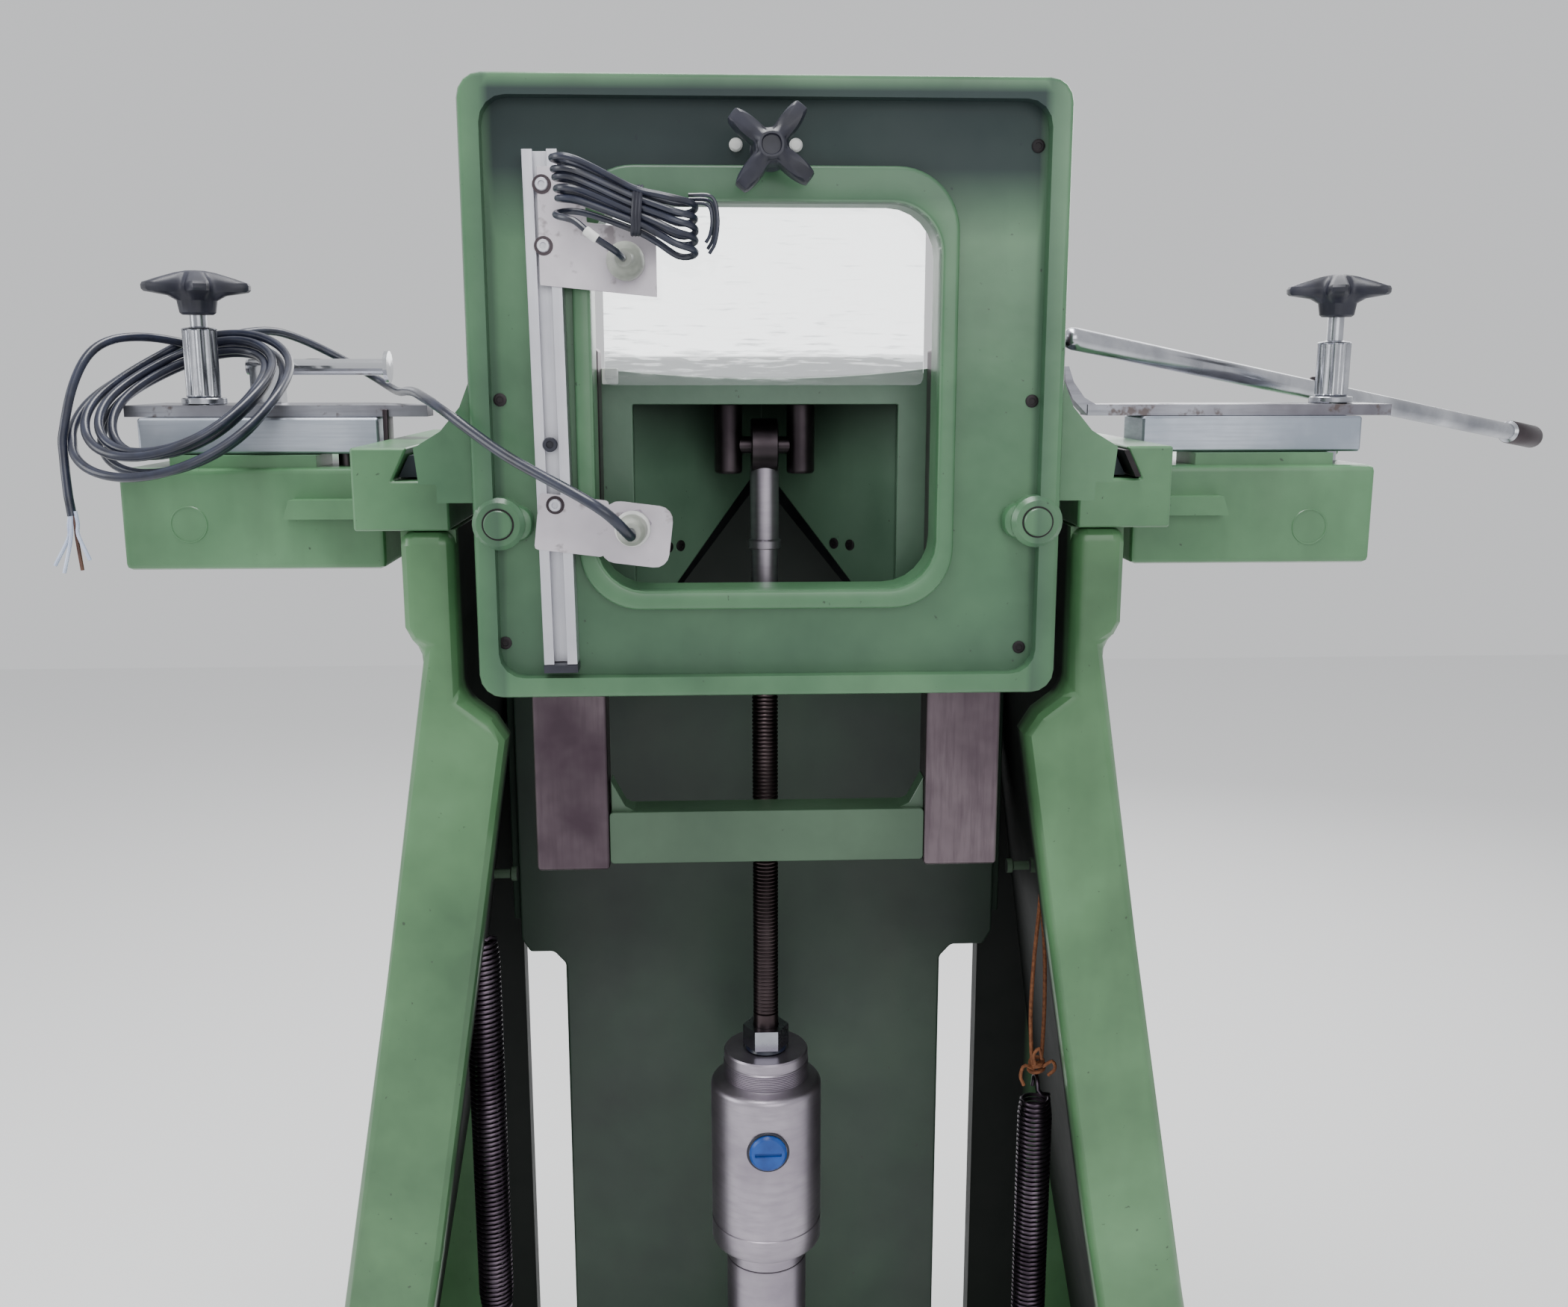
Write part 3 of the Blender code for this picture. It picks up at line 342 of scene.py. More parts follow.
FENCE = metal("milled_aluminium", tone(196, 202, 212), tone(150, 158, 170), (0.34, 0.52),
              (0.3, 1.0, 8.0), 70.0, 0.00004)
STRIP = metal("worn_steel_strip", tone(172, 174, 182), tone(112, 110, 118), (0.26, 0.44),
              (0.4, 1.0, 6.0), 60.0, 0.00005, tone(92, 80, 76))
SHEET = metal("zinc_sheet", tone(224, 218, 224), tone(188, 182, 190), (0.36, 0.55),
              (1, 1, 1), 26.0, 0.00004, tone(150, 142, 146))
CYLINDER = metal("cylinder_grey", tone(186, 178, 188), tone(146, 138, 150), (0.30, 0.46),
                 (1.0, 1.0, 5.0), 50.0, 0.00005)
IRON = metal("bare_cast_iron", tone(92, 88, 88), tone(52, 48, 50), (0.45, 0.65), (1, 1, 1), 60.0,
             0.0002, tone(96, 70, 52), 0.85)
GREASE = metal("greasy_gib_iron", tone(52, 48, 50), tone(28, 26, 28), (0.35, 0.55), (1, 1, 1),
               60.0, 0.0001, None, 0.7)
TABLE = metal("worn_table_iron", tone(146, 146, 148), tone(104, 102, 104), (0.30, 0.50),
              (0.4, 5.0, 1.0), 60.0, 0.0001, tone(92, 78, 68))
BLACK = plastic("black_plastic", tone(44, 45, 58), tone(26, 27, 38), (0.34, 0.50))
BLUE = plastic("blue_plastic", tone(20, 78, 160), tone(8, 58, 132), (0.30, 0.42), 90.0)
WHITE = plastic("white_plastic", tone(232, 232, 228), tone(204, 204, 204), (0.35, 0.5), 90.0)
GLAND = plastic("grey_gland", tone(176, 178, 170), tone(138, 142, 134), (0.30, 0.45), 90.0)
RUBBER = plastic("black_cable", tone(36, 41, 60), tone(20, 23, 38), (0.28, 0.42), 80.0,
                 0.00008, 0.35)
PALE_WIRE = plastic("pale_blue_wire", tone(206, 216, 238), tone(172, 184, 214), (0.3, 0.45))
BROWN_WIRE = plastic("brown_wire", tone(104, 72, 58), tone(78, 50, 42), (0.3, 0.45))
TWINE = plastic("brown_twine", tone(150, 96, 62), tone(104, 60, 38), (0.75, 0.92), 420.0, 0.0006)
GLASS = clear("clear_guard")

# -------- meshes


def node_group(name):
    """An empty group of geometry nodes, with its input and output nodes."""
    group = bpy.data.node_groups.new(name, "GeometryNodeTree")
    for way in ("INPUT", "OUTPUT"):
        group.interface.new_socket("Geometry", in_out=way, socket_type="NodeSocketGeometry")
    return group, group.nodes.new("NodeGroupInput"), group.nodes.new("NodeGroupOutput")


def smooth_group(name, angle):
    """Geometry nodes that shade smooth with creases sharper than the angle kept."""
    group, start, end = node_group(name)
    faces = group.nodes.new("GeometryNodeSetShadeSmooth")
    edges = group.nodes.new("GeometryNodeSetShadeSmooth")
    edges.domain = "EDGE"
    edges.inputs["Shade Smooth"].default_value = False
    bend = group.nodes.new("GeometryNodeInputMeshEdgeAngle")
    sharp = group.nodes.new("FunctionNodeCompare")
    sharp.operation = "GREATER_THAN"
    sharp.inputs["B"].default_value = math.radians(angle)
    group.links.new(start.outputs[0], faces.inputs["Geometry"])
    group.links.new(faces.outputs[0], edges.inputs["Geometry"])
    group.links.new(bend.outputs["Unsigned Angle"], sharp.inputs["A"])
    group.links.new(sharp.outputs["Result"], edges.inputs["Selection"])
    group.links.new(edges.outputs[0], end.inputs[0])
    return group


def weld_group():
    """Geometry nodes that join the frame's split corners and drop its stored normals."""
    group, start, end = node_group("weld_frame")
    merge = group.nodes.new("GeometryNodeMergeByDistance")
    merge.inputs["Distance"].default_value = 0.00001
    drop = group.nodes.new("GeometryNodeRemoveAttribute")
    drop.inputs["Name"].default_value = "custom_normal"
    group.links.new(start.outputs[0], drop.inputs["Geometry"])
    group.links.new(drop.outputs[0], merge.inputs["Geometry"])
    group.links.new(merge.outputs[0], end.inputs[0])
    return group


WELD = weld_group()
SMOOTH = smooth_group("smooth_by_angle", 32)


def modifier(obj, group):
    """Add a group of geometry nodes to an object."""
    obj.modifiers.new(group.name, "NODES").node_group = group


def dress(node, material, edge, segments):
    """Give a CAD node its material and broken edges."""
    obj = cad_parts[node]
    obj.data.materials.clear()
    obj.data.materials.append(material)
    modifier(obj, WELD)
    if edge:
        flat = obj.modifiers.new("flat_faces", "DECIMATE")
        flat.decimate_type = "DISSOLVE"
        flat.angle_limit = math.radians(0.6)
        bevel = obj.modifiers.new("broken_edges", "BEVEL")
        bevel.width = edge
        bevel.segments = segments
        bevel.limit_method = "ANGLE"
        bevel.angle_limit = math.radians(30)
        bevel.miter_outer = "MITER_ARC"
    modifier(obj, SMOOTH)
    if edge:
        obj.modifiers.new("flat_face_normals", "WEIGHTED_NORMAL").keep_sharp = True


def piece(name, bm, material, body, stands_for=(), smooth=True):
    """A new piece from machine coordinates, riding on its body."""
    bmesh.ops.recalc_face_normals(bm, faces=bm.faces)
    mesh = bpy.data.meshes.new(name)
    bm.to_mesh(mesh)
    bm.free()
    mesh.transform(Matrix.Translation(SHIFT))
    mesh.materials.append(material)
    obj = bpy.data.objects.new(name, mesh)
    bpy.context.scene.collection.objects.link(obj)
    if smooth:
        modifier(obj, SMOOTH)
    if body:
        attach(obj, body)
    if stands_for:
        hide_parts(*stands_for)
    return obj


def skin(bm, rings):
    """Faces between each two neighbouring rings of vertices; a ring of one is a tip."""
    for one, two in zip(rings, rings[1:]):
        for i in range(max(len(one), len(two))):
            j = i + 1
            corners = (one[i % len(one)], one[j % len(one)], two[j % len(two)], two[i % len(two)])
            bm.faces.new(tuple(dict.fromkeys(corners)))


def lathe(profile, centre, axis=UP, steps=48, into=None):
    """Turn (radius, height) rows round an axis; a radius may be a function of the angle."""
    bm = into or bmesh.new()
    turn = Vector(UP).rotation_difference(Vector(axis)).to_matrix()
    rings = []
    for radius, height in profile:
        ring = []
        for i in range(steps if radius else 1):
            a = 2 * math.pi * i / steps
            r = radius(a) if callable(radius) else radius
            spot = Vector((r * math.cos(a), r * math.sin(a), height))
            ring.append(bm.verts.new(turn @ spot + Vector(centre)))
        rings.append(ring)
    skin(bm, rings)
    return bm


def sweep(points, radius, sides=12, into=None):
    """A round tube along points, closed at its ends."""
    bm = into or bmesh.new()
    spots = [Vector(p) for p in points]
    normal = (spots[1] - spots[0]).orthogonal().normalized()
    rings = []
    for i, spot in enumerate(spots):
        ahead = spots[min(i + 1, len(spots) - 1)] - spots[max(i - 1, 0)]
        ahead.normalize()
        normal = (normal - ahead * normal.dot(ahead)).normalized()
        cross = ahead.cross(normal)
        rings.append([bm.verts.new(spot + radius * (normal * math.cos(a) + cross * math.sin(a)))
                      for a in (2 * math.pi * k / sides for k in range(sides))])
    skin(bm, rings)
    bm.faces.new(rings[0][::-1])
    bm.faces.new(rings[-1])
    return bm


def slab(x, y, z, edge, into=None):
    """A box between limits, its edges rounded."""
    bm = into or bmesh.new()
    corners = [bm.verts.new((a, b, c)) for c in z for b in y for a in x]
    faces = [(0, 2, 3, 1), (4, 5, 7, 6), (0, 1, 5, 4), (2, 6, 7, 3), (0, 4, 6, 2), (1, 3, 7, 5)]
    made = [bm.faces.new([corners[i] for i in face]) for face in faces]
    edges = list({e for f in made for e in f.edges})
    bmesh.ops.bevel(bm, geom=edges, offset=edge, segments=3, affect="EDGES", profile=0.5)
    return bm


def rounded(x, z, radius):
    """A rectangle's outline with round corners, as (x, z) pairs."""
    steps = 12
    corners = [(x[1] - radius, z[1] - radius, 0), (x[0] + radius, z[1] - radius, 90),
               (x[0] + radius, z[0] + radius, 180), (x[1] - radius, z[0] + radius, 270)]
    return [(a + radius * math.cos(math.radians(turn + 90 * k / steps)),
             b + radius * math.sin(math.radians(turn + 90 * k / steps)))
            for a, b, turn in corners for k in range(steps + 1)]


def ring_plate(outer, inner, front, back, edge):
    """A flat ring between two outlines of as many points, its front edges rounded."""
    bm = bmesh.new()
    front_out, front_in, back_out, back_in = (
        [bm.verts.new((a, y, b)) for a, b in outline]
        for y in (front, back) for outline in (outer, inner))
    skin(bm, [front_out, front_in, back_in, back_out, front_out])
    rims = [bm.edges.get((loop[i - 1], loop[i])) for loop in (front_out, front_in)
            for i in range(len(loop))]
    bmesh.ops.bevel(bm, geom=rims, offset=edge, segments=3, affect="EDGES", profile=0.5)
    return bm


def ring_path(centre, across, up, steps=24):
    """A closed oval: centre, two half-axes."""
    return [Vector(centre) + Vector(across) * math.cos(a) + Vector(up) * math.sin(a)
            for a in (2 * math.pi * k / steps for k in range(steps + 1))]


def smooth_path(knots, pitch):
    """Catmull-Rom curve through the knots, resampled at the pitch."""
    ends = [Vector(k) for k in knots]
    ends = [2 * ends[0] - ends[1]] + ends + [2 * ends[-1] - ends[-2]]
    fine, steps = [], 24
    for i in range(1, len(ends) - 2):
        p0, p1, p2, p3 = ends[i - 1:i + 3]
        for s in range(steps):
            t = s / steps
            fine.append(0.5 * (2 * p1 + (p2 - p0) * t + (2 * p0 - 5 * p1 + 4 * p2 - p3) * t ** 2
                               + (3 * p1 - p0 - 3 * p2 + p3) * t ** 3))
    fine.append(ends[-2])
    return even(fine, pitch)


def even(points, pitch):
    """The same line with its points evenly spaced."""
    line = np.array([tuple(p) for p in points])
    run = np.concatenate([[0.0], np.cumsum(np.linalg.norm(np.diff(line, axis=0), axis=1))])
    count = max(2, int(round(run[-1] / pitch)) + 1)
    at = np.linspace(0.0, run[-1], count)
    return np.stack([np.interp(at, run, line[:, i]) for i in range(3)], axis=1)


def length_of(line):
    """Length of a line of points."""
    return float(np.linalg.norm(np.diff(line, axis=0), axis=1).sum())


def untangled(line, thick, loops, held, stay):
    """Push a cord's turns apart until none lies in another, at the length it has.

    held points at each end don't move; stay is the pull back to the drawn line."""
    start = line.copy()
    line = line.copy()
    rest = np.linalg.norm(np.diff(line, axis=0), axis=1)
    order = np.arange(len(line))
    near = np.abs(order[:, None] - order[None]) * rest.mean() < 3.2 * thick
    for _ in range(loops):
        apart = line[:, None] - line[None]
        far = np.linalg.norm(apart, axis=2)
        short = np.where((far < thick) & ~near, thick - far, 0.0)
        push = (apart / np.maximum(far, 1e-9)[..., None] * short[..., None]).sum(1) * 0.35
        push[:held] = 0
        push[-held:] = 0
        line += push
        bend = (line[:-2] + line[2:]) / 2 - line[1:-1]
        line[held:-held] += 0.25 * bend[held - 1:len(bend) - held + 1]
        line[held:-held] += stay * (start - line)[held:-held]
        for parity in (0, 1):
            a = np.arange(parity, len(line) - 1, 2)
            step = line[a + 1] - line[a]
            size = np.linalg.norm(step, axis=1)
            fix = step * ((size - rest[a]) / np.maximum(size, 1e-9) / 2)[:, None]
            line[a] += np.where((a >= held)[:, None], fix, 0)
            line[a + 1] -= np.where((a + 1 < len(line) - held)[:, None], fix, 0)
    return line


# -------- cords

LEAD_D = 0.0056
LEAD = [(-0.0745, -0.0416, 0.9345), (-0.0745, -0.056, 0.9350), (-0.085, -0.067, 0.948),
        (-0.108, -0.056, 0.960), (-0.136, -0.038, 0.973), (-0.158, -0.020, 0.986),
        (-0.1775, -0.004, 0.9985), (-0.193, 0.030, 1.0035), (-0.208, 0.084, 1.0050),
        (-0.226, 0.150, 1.0045), (-0.2425, 0.206, 1.0030), (-0.255, 0.237, 1.0055),
        (-0.272, 0.2485, 1.0150), (-0.295, 0.246, 1.0280), (-0.318, 0.238, 1.040),
        (-0.338, 0.228, 1.0445)]
COIL = Vector((-0.3625, 0.134, 0.998))
COIL_NORMAL = Vector((-0.12, -0.70, 0.70)).normalized()
COIL_R = 0.0515
COIL_TURNS = 5
TAIL = [(-0.3985, 0.177, 1.0390), (-0.4170, 0.148, 1.0330), (-0.4262, 0.132, 1.010),
        (-0.4285, 0.118, 0.980), (-0.4265, 0.110, 0.952), (-0.4240, 0.108, 0.930)]


def ease(value):
    """0 to 1 with a gentle start and end."""
    value = min(max(value, 0.0), 1.0)
    return value * value * (3 - 2 * value)


def coil_knots():
    """Turns of the coiled lead, leaning on the left clamp: its top passes behind the pillar."""
    right = (Vector((1, 0, 0)) - COIL_NORMAL * COIL_NORMAL.x).normalized()
    rise = COIL_NORMAL.cross(right)
    knots = []
    steps = 20
    for i in range(1, COIL_TURNS * steps + 1):
        turns = i / steps
        a = math.pi / 2 + 2 * math.pi * turns
        low = 0.5 - 0.5 * math.sin(a)
        bundle = 0.0064 + 0.0016 * low
        spin = math.radians(60) * turns
        out = bundle * math.cos(spin)
        side = bundle * math.sin(spin)
        if turns < 1:
            out += 0.006 * ease(low * 1.3)
        if 3 <= turns < 4:
            out -= 0.004 * ease(low * 1.2)
        spot = COIL + COIL_NORMAL * side
        spot += (COIL_R + out) * (right * math.cos(a) * 1.04 + rise * math.sin(a) * 0.98)
        spot += rise * 0.010 * math.cos(a)
        spot.y += 0.032 * ease((spot.z - 0.992) / 0.038)
        knots.append(spot)
    return knots


lead_line = smooth_path([*LEAD, *coil_knots(), *TAIL], 0.0040)
lead_line = untangled(lead_line, LEAD_D * 1.07, 90, 4, 0.03)
lead = piece("lower_switch_cable", sweep(lead_line, LEAD_D / 2), RUBBER, None)
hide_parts("lower_switch_lead", "lead_coil", "lead_tail")
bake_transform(lead)

wires, brown = bmesh.new(), bmesh.new()
for i, (dx, dy, drop) in enumerate(((-0.0140, 0.004, 0.034), (-0.0075, -0.001, 0.038),
                                    (0.0005, 0.003, 0.037), (0.0070, -0.002, 0.030))):
    start = Vector((-0.4248 + 0.0011 * i, 0.1080 - 0.0007 * (i % 2), 0.9330))
    end = start + Vector((dx, dy, -drop))
    bow = Vector((0.002 * (1.5 - i), 0.001, 0))
    sweep(smooth_path([start, start + Vector((dx * 0.12, 0, -0.008)), (start + end) / 2 + bow,
                       end], 0.002), 0.0012, 8, brown if i == 2 else wires)
piece("lead_wires", wires, PALE_WIRE, "body")
piece("lead_wire_brown", brown, BROWN_WIRE, "body")
HANK_D = 0.0034
HANK_ROWS = 6
SWITCH_END = (-0.0755, -0.0400, 1.0735)


def hank_row(i, front):
    """Knots of one strand of the folded cable, from its left fold to its right fold."""
    up = i / (HANK_ROWS - 1)
    swing = 0.0007 * math.sin(2.4 * i + (1.7 if front else 0.0))
    ends = (-0.0560, -0.0366)[not front]
    waist = (-0.0512, -0.0438)[not front]
    left_z, tie_z, right_z = 1.0970 + 0.0235 * up, 1.0870 + 0.0178 * up, 1.0735 + 0.0265 * up
    return [Vector((-0.0980 - 0.003 * up, ends, left_z + swing)),
            Vector((-0.0850, (ends + waist) / 2, (left_z + tie_z) / 2 + 0.0007 + swing)),
            Vector((-0.0680, waist, tie_z)),
            Vector((-0.0560, (ends + waist) / 2, (right_z + tie_z) / 2 + swing)),
            Vector((-0.0475, ends, right_z + swing))]


def fold(start, end, out):
    """Knots round the end of a strand, half a circle out from the middle of its ends."""
    middle = (start + end) / 2
    half = (start - end) / 2
    reach = Vector((out * half.length, 0, 0))
    return [middle + half * math.cos(a) + reach * math.sin(a)
            for a in (math.radians(d) for d in (45, 90, 135))]


hank_knots = [Vector(p) for p in (
    SWITCH_END, (-0.0755, -0.0490, 1.0735), (-0.0775, -0.0590, 1.0755), (-0.0850, -0.0640, 1.0795),
    (-0.0925, -0.0625, 1.0850), (-0.0975, -0.0590, 1.0910))]
run = []
for row in range(HANK_ROWS):
    back = hank_row(row, False)
    if row:
        run += hank_row(row, True)[::-1]
    run += fold((run[-1] if run else hank_knots[-1]), back[0], -1) + back
    if row < HANK_ROWS - 1:
        run += fold(back[-1], hank_row(row + 1, True)[-1], 1)
hank_knots += run + [Vector((-0.0395, -0.0400, 1.1010)), Vector((-0.0350, -0.0460, 1.1015))]
hank_line = untangled(smooth_path(hank_knots, 0.0026), HANK_D * 1.08, 120, 5, 0.015)
hank = piece("upper_switch_cable", sweep(hank_line, HANK_D / 2, 10), RUBBER, "saddle",
             ("switch_lead_hank",))


band = bmesh.new()
for x in (-0.0692, -0.0676, -0.0660):
    sweep(ring_path((x, -0.0475, 1.0958), (0, 0.0072, 0), (0.001, 0, 0.0116)), 0.0010, 6, band)
piece("hank_tie", band, BLACK, "saddle")
tag_at = int(0.032 / (length_of(hank_line) / (len(hank_line) - 1)))
marker = sweep(hank_line[tag_at - 1:tag_at + 3], HANK_D / 2 + 0.0007, 14)
piece("cable_marker", marker, WHITE, "saddle")
stray = bmesh.new()
for i, (out, drop, start) in enumerate(((0.0085, 0.024, 1.1015), (0.0070, 0.019, 1.0995),
                                        (0.0100, 0.028, 1.1030))):
    y = -0.047 - 0.0022 * i
    sweep(smooth_path([(-0.0420, y, start), (-0.0375 + out * 0.7, y - 0.001, start - 0.001),
                       (-0.0375 + out, y - 0.0015, start - drop * 0.4),
                       (-0.0375 + out * 0.86, y - 0.001, start - drop * 0.8),
                       (-0.0375 + out * 0.55, y, start - drop)], 0.0015), 0.0009, 7, stray)
piece("hank_wire_ends", stray, RUBBER, "saddle")

STRING = [(0.1862, 0.1180, 0.6880), (0.1862, 0.1184, 0.6650), (0.1838, 0.1190, 0.6250),
          (0.1830, 0.1200, 0.5850), (0.1848, 0.1205, 0.5520), (0.1866, 0.1208, 0.5390)]
string_line = smooth_path(STRING, 0.003)
twine = piece("spring_twine_cord", sweep(string_line, 0.0014, 8), TWINE, "body",
              ("spring_twine",))
piece("spring_twine_return",
      sweep(smooth_path([(0.1912, 0.1228, 0.5400), (0.1930, 0.1250, 0.5560), (0.1935, 0.1250, 0.5900),
                         (0.1922, 0.1256, 0.6300), (0.1892, 0.1268, 0.6640),
                         (0.1888, 0.1272, 0.6880)], 0.003), 0.0014, 8), TWINE, "body")
knot = bmesh.new()
for k in range(3):
    sweep(ring_path((0.1888, 0.1228, 0.5420 + 0.0026 * k), (0.0052 - 0.0004 * k, 0, 0.0010),
                    (0, 0.0042, 0.0008 * (-1) ** k), 18), 0.0014, 7, knot)
for points in ([(0.1850, 0.119, 0.5440), (0.1790, 0.117, 0.5470), (0.1765, 0.116, 0.5400),
                (0.1790, 0.116, 0.5330)],
               [(0.1925, 0.119, 0.5450), (0.1985, 0.117, 0.5500), (0.2005, 0.117, 0.5440),
                (0.1960, 0.118, 0.5390)],
               [(0.1870, 0.118, 0.5470), (0.1850, 0.115, 0.5560), (0.1885, 0.114, 0.5610),
                (0.1910, 0.117, 0.5520)]):
    sweep(smooth_path(points, 0.002), 0.0012, 7, knot)
piece("twine_knot", knot, TWINE, "body")
loop = bmesh.new()
for x in (0.1862, 0.1888):
    sweep(ring_path((x, 0.1226, 0.6898), (0, 0.0050, 0), (0, 0, 0.0052), 20), 0.0014, 7, loop)
piece("twine_hitch", loop, TWINE, "body")

# -------- floor and light

floor_mesh = bpy.data.meshes.new("studio_floor")
floor_mesh.from_pydata([(-4, -4, 0), (4, -4, 0), (4, 4, 0), (-4, 4, 0)], [], [(0, 1, 2, 3)])
floor = bpy.data.objects.new("studio_floor", floor_mesh)
floor_look = bpy.data.materials.new("pale_floor")
floor_look.use_nodes = True
floor_shader = floor_look.node_tree.nodes["Principled BSDF"]
floor_shader.inputs["Base Color"].default_value = (0.86, 0.86, 0.86, 1)
floor_shader.inputs["Roughness"].default_value = 0.9
floor_mesh.materials.append(floor_look)
bpy.context.scene.collection.objects.link(floor)


def lamp(name, spot, aim, power, size, colour=(1, 1, 1)):
    """An area light at a spot, aimed at another."""
    data = bpy.data.lights.new(name, "AREA")
    data.energy = power
    data.shape = "RECTANGLE"
    data.size, data.size_y = size
    data.color = colour
    obj = bpy.data.objects.new(name, data)
    obj.location = Vector(spot) + SHIFT
    obj.rotation_euler = (Vector(aim) + SHIFT - obj.location).to_track_quat("-Z", "Y").to_euler()
    bpy.context.scene.collection.objects.link(obj)


lamp("ceiling_tubes", (-0.10, 0.10, 2.60), (0, 0.08, 0.8), 50, (1.9, 0.7))
lamp("front_fill", (0.5, -2.1, 1.60), (0, 0.1, 0.75), 14, (1.6, 1.2))
lamp("left_window", (-2.2, -0.5, 1.5), (0, 0.1, 0.8), 18, (1.0, 1.4), (0.97, 0.99, 1.0))
lamp("back_light", (0.6, 2.2, 1.7), (0, 0.1, 0.9), 24, (2.0, 1.4))
world = bpy.data.worlds.new("studio")
world.use_nodes = True
sky = world.node_tree.nodes["Background"]
sky.inputs["Color"].default_value = (0.95, 0.96, 0.98, 1)
sky.inputs["Strength"].default_value = 0.80
bpy.context.scene.world = world

# -------- dressed CAD nodes

# Material, edge width, edge segments, CAD nodes.
DRESSED = (
    (GREEN, 0.0050, 3, ("left_side_frame", "right_side_frame")),
    (ARM_GREEN, 0.0020, 3, ("base_crossmember", "table_arm_left", "table_arm_right",
                            "pivot_bracket", "guideway_left", "guideway_right",
                            "lever_bracket")),
    (COLUMN_GREEN, 0.0020, 2, ("rear_column",)),
    (SADDLE_GREEN, 0.0014, 3, ("saddle_casting",)),
    (BLOCK_GREEN, 0.0016, 3, ("knife_block",)),
    (CROSS_GREEN, 0.0016, 3, ("lower_crossbar",)),
    (IRON, 0.0010, 2, ("foot_left", "foot_right")),
    (GREASE, 0.0004, 2, ("gib_strip",)),
    (STRIP, 0.0006, 2, ("fence_plate_right", "fence_plate_left")),
    (TABLE, 0.0008, 2, ("centre_table",)),
    (GROUND, 0.0008, 2, ("guide_bar_left", "guide_bar_right", "bar_keeper_left",
                         "bar_keeper_right")),
    (KNIFE, 0.0, 2, ("knife_left", "knife_right")),
    (BRIGHT, 0.0004, 2, ("base_pivot_pin", "lever_pin")),
    (DARK_STEEL, 0.0005, 2, ("fence_pivot_left", "fence_pivot_right", "knife_clevis")),
    (FENCE, 0.0007, 2, ("fence_bar_left", "fence_bar_right")),
    (ALU, 0.0003, 2, ("sensor_rail",)),
    (BLACK, 0.0004, 2, ("rail_end_cap",)),
    (SHEET, 0.0003, 2, ("upper_switch_bracket", "lower_switch_bracket")),
    (GLASS, 0.0, 2, ("blade_guard",)),
    (BLUE, 0.0004, 2, ("port_plug",)),
    (BRIGHT, 0.0008, 2, ("lock_nut",)),
    (CYLINDER, 0.0, 2, ("cylinder_barrel", "cylinder_end_cap")),
)
for look, edge, segments, nodes in DRESSED:
    for node in nodes:
        dress(node, look, edge, segments)

# -------- hand knobs


def star(centre, axis, arms, rows, phase, power=1.5):
    """A star-shaped grip: rows of (hub radius, arm reach, height)."""
    def lobed(hub, reach):
        def radius(a):
            lobe = 1.16 * (0.5 + 0.5 * math.cos(arms * (a - phase))) ** power
            return hub + (reach - hub) * min(1.0, lobe)
        return radius

    profile = [(lobed(hub, reach) if reach else 0, height) for hub, reach, height in rows]
    return lathe(profile, centre, axis, 160)


def fluted(radius, depth):
    """A radius with ten flutes of a depth, in parts of the radius."""
    return lambda a: radius * (1 - depth * (0.5 - 0.5 * math.cos(10 * a)) ** 0.75)


PILLAR = {-1: (-0.360, 0.170), 1: (0.3865, 0.178)}
GRIP = [(0, 0, 1.0523), (0.0095, 0.0095, 1.0523), (0.0108, 0.0112, 1.0535),
        (0.0118, 0.0125, 1.0610), (0.0128, 0.0180, 1.0640), (0.0138, 0.0318, 1.0662),
        (0.0142, 0.0333, 1.0676), (0.0142, 0.0335, 1.0702), (0.0136, 0.0326, 1.0718),
        (0.0122, 0.0240, 1.0748), (0.0094, 0.0130, 1.0782), (0.0055, 0.0062, 1.0796),
        (0, 0, 1.0800)]
for side, word, height in ((-1, "left", 1.044), (1, "right", 1.036)):
    x, y = PILLAR[side]
    piece(f"star_grip_{word}", star((x, y, 0), UP, 5, GRIP, math.radians(90 + 14 * side)),
          BLACK, f"star_knob_{word}", stands_for=(f"star_knob_{word}",))
    post = lathe([(0, 0.9000), (0.0060, 0.9000), (0.0060, 0.9957), (0.0136, 0.9959),
                  (0.0140, 0.9964), (0.0140, 0.9994), (0.0134, 1.0000), (0.0098, 1.0001),
                  (0.0110, 1.0010), (fluted(0.0110, 0.15), 1.0016),
                  (fluted(0.0110, 0.15), height - 0.0016), (0.0110, height - 0.0008),
                  (0.0100, height), (0.0066, height + 0.0004), (0.0052, height + 0.0010),
                  (0.0052, 1.0520), (0, 1.0520)], (x, y, 0), steps=120)
    piece(f"fluted_pillar_{word}", post, BRIGHT, "body", stands_for=(f"clamp_pillar_{word}",))
CROSS = [(0, 0, -0.0400), (0.0044, 0.0044, -0.0400), (0.0044, 0.0044, 0.0062),
         (0.0092, 0.0094, 0.0064), (0.0105, 0.0108, 0.0080), (0.0100, 0.0112, 0.0125),
         (0.0092, 0.0190, 0.0142), (0.0090, 0.0250, 0.0155), (0.0092, 0.0258, 0.0175),
         (0.0092, 0.0258, 0.0265), (0.0086, 0.0250, 0.0292), (0.0080, 0.0225, 0.0306),
         (0.0074, 0.0130, 0.0312), (0.0072, 0.0078, 0.0330), (0.0062, 0.0066, 0.0340),
         (0.0052, 0.0054, 0.0340), (0.0046, 0.0048, 0.0318), (0, 0, 0.0316)]
piece("guard_grip", star((0.0, 0.0, 1.130), FRONT, 4, CROSS, math.radians(52), 2.2), BLACK,
      "guard_knob", stands_for=("guard_knob",))

# -------- hand lever

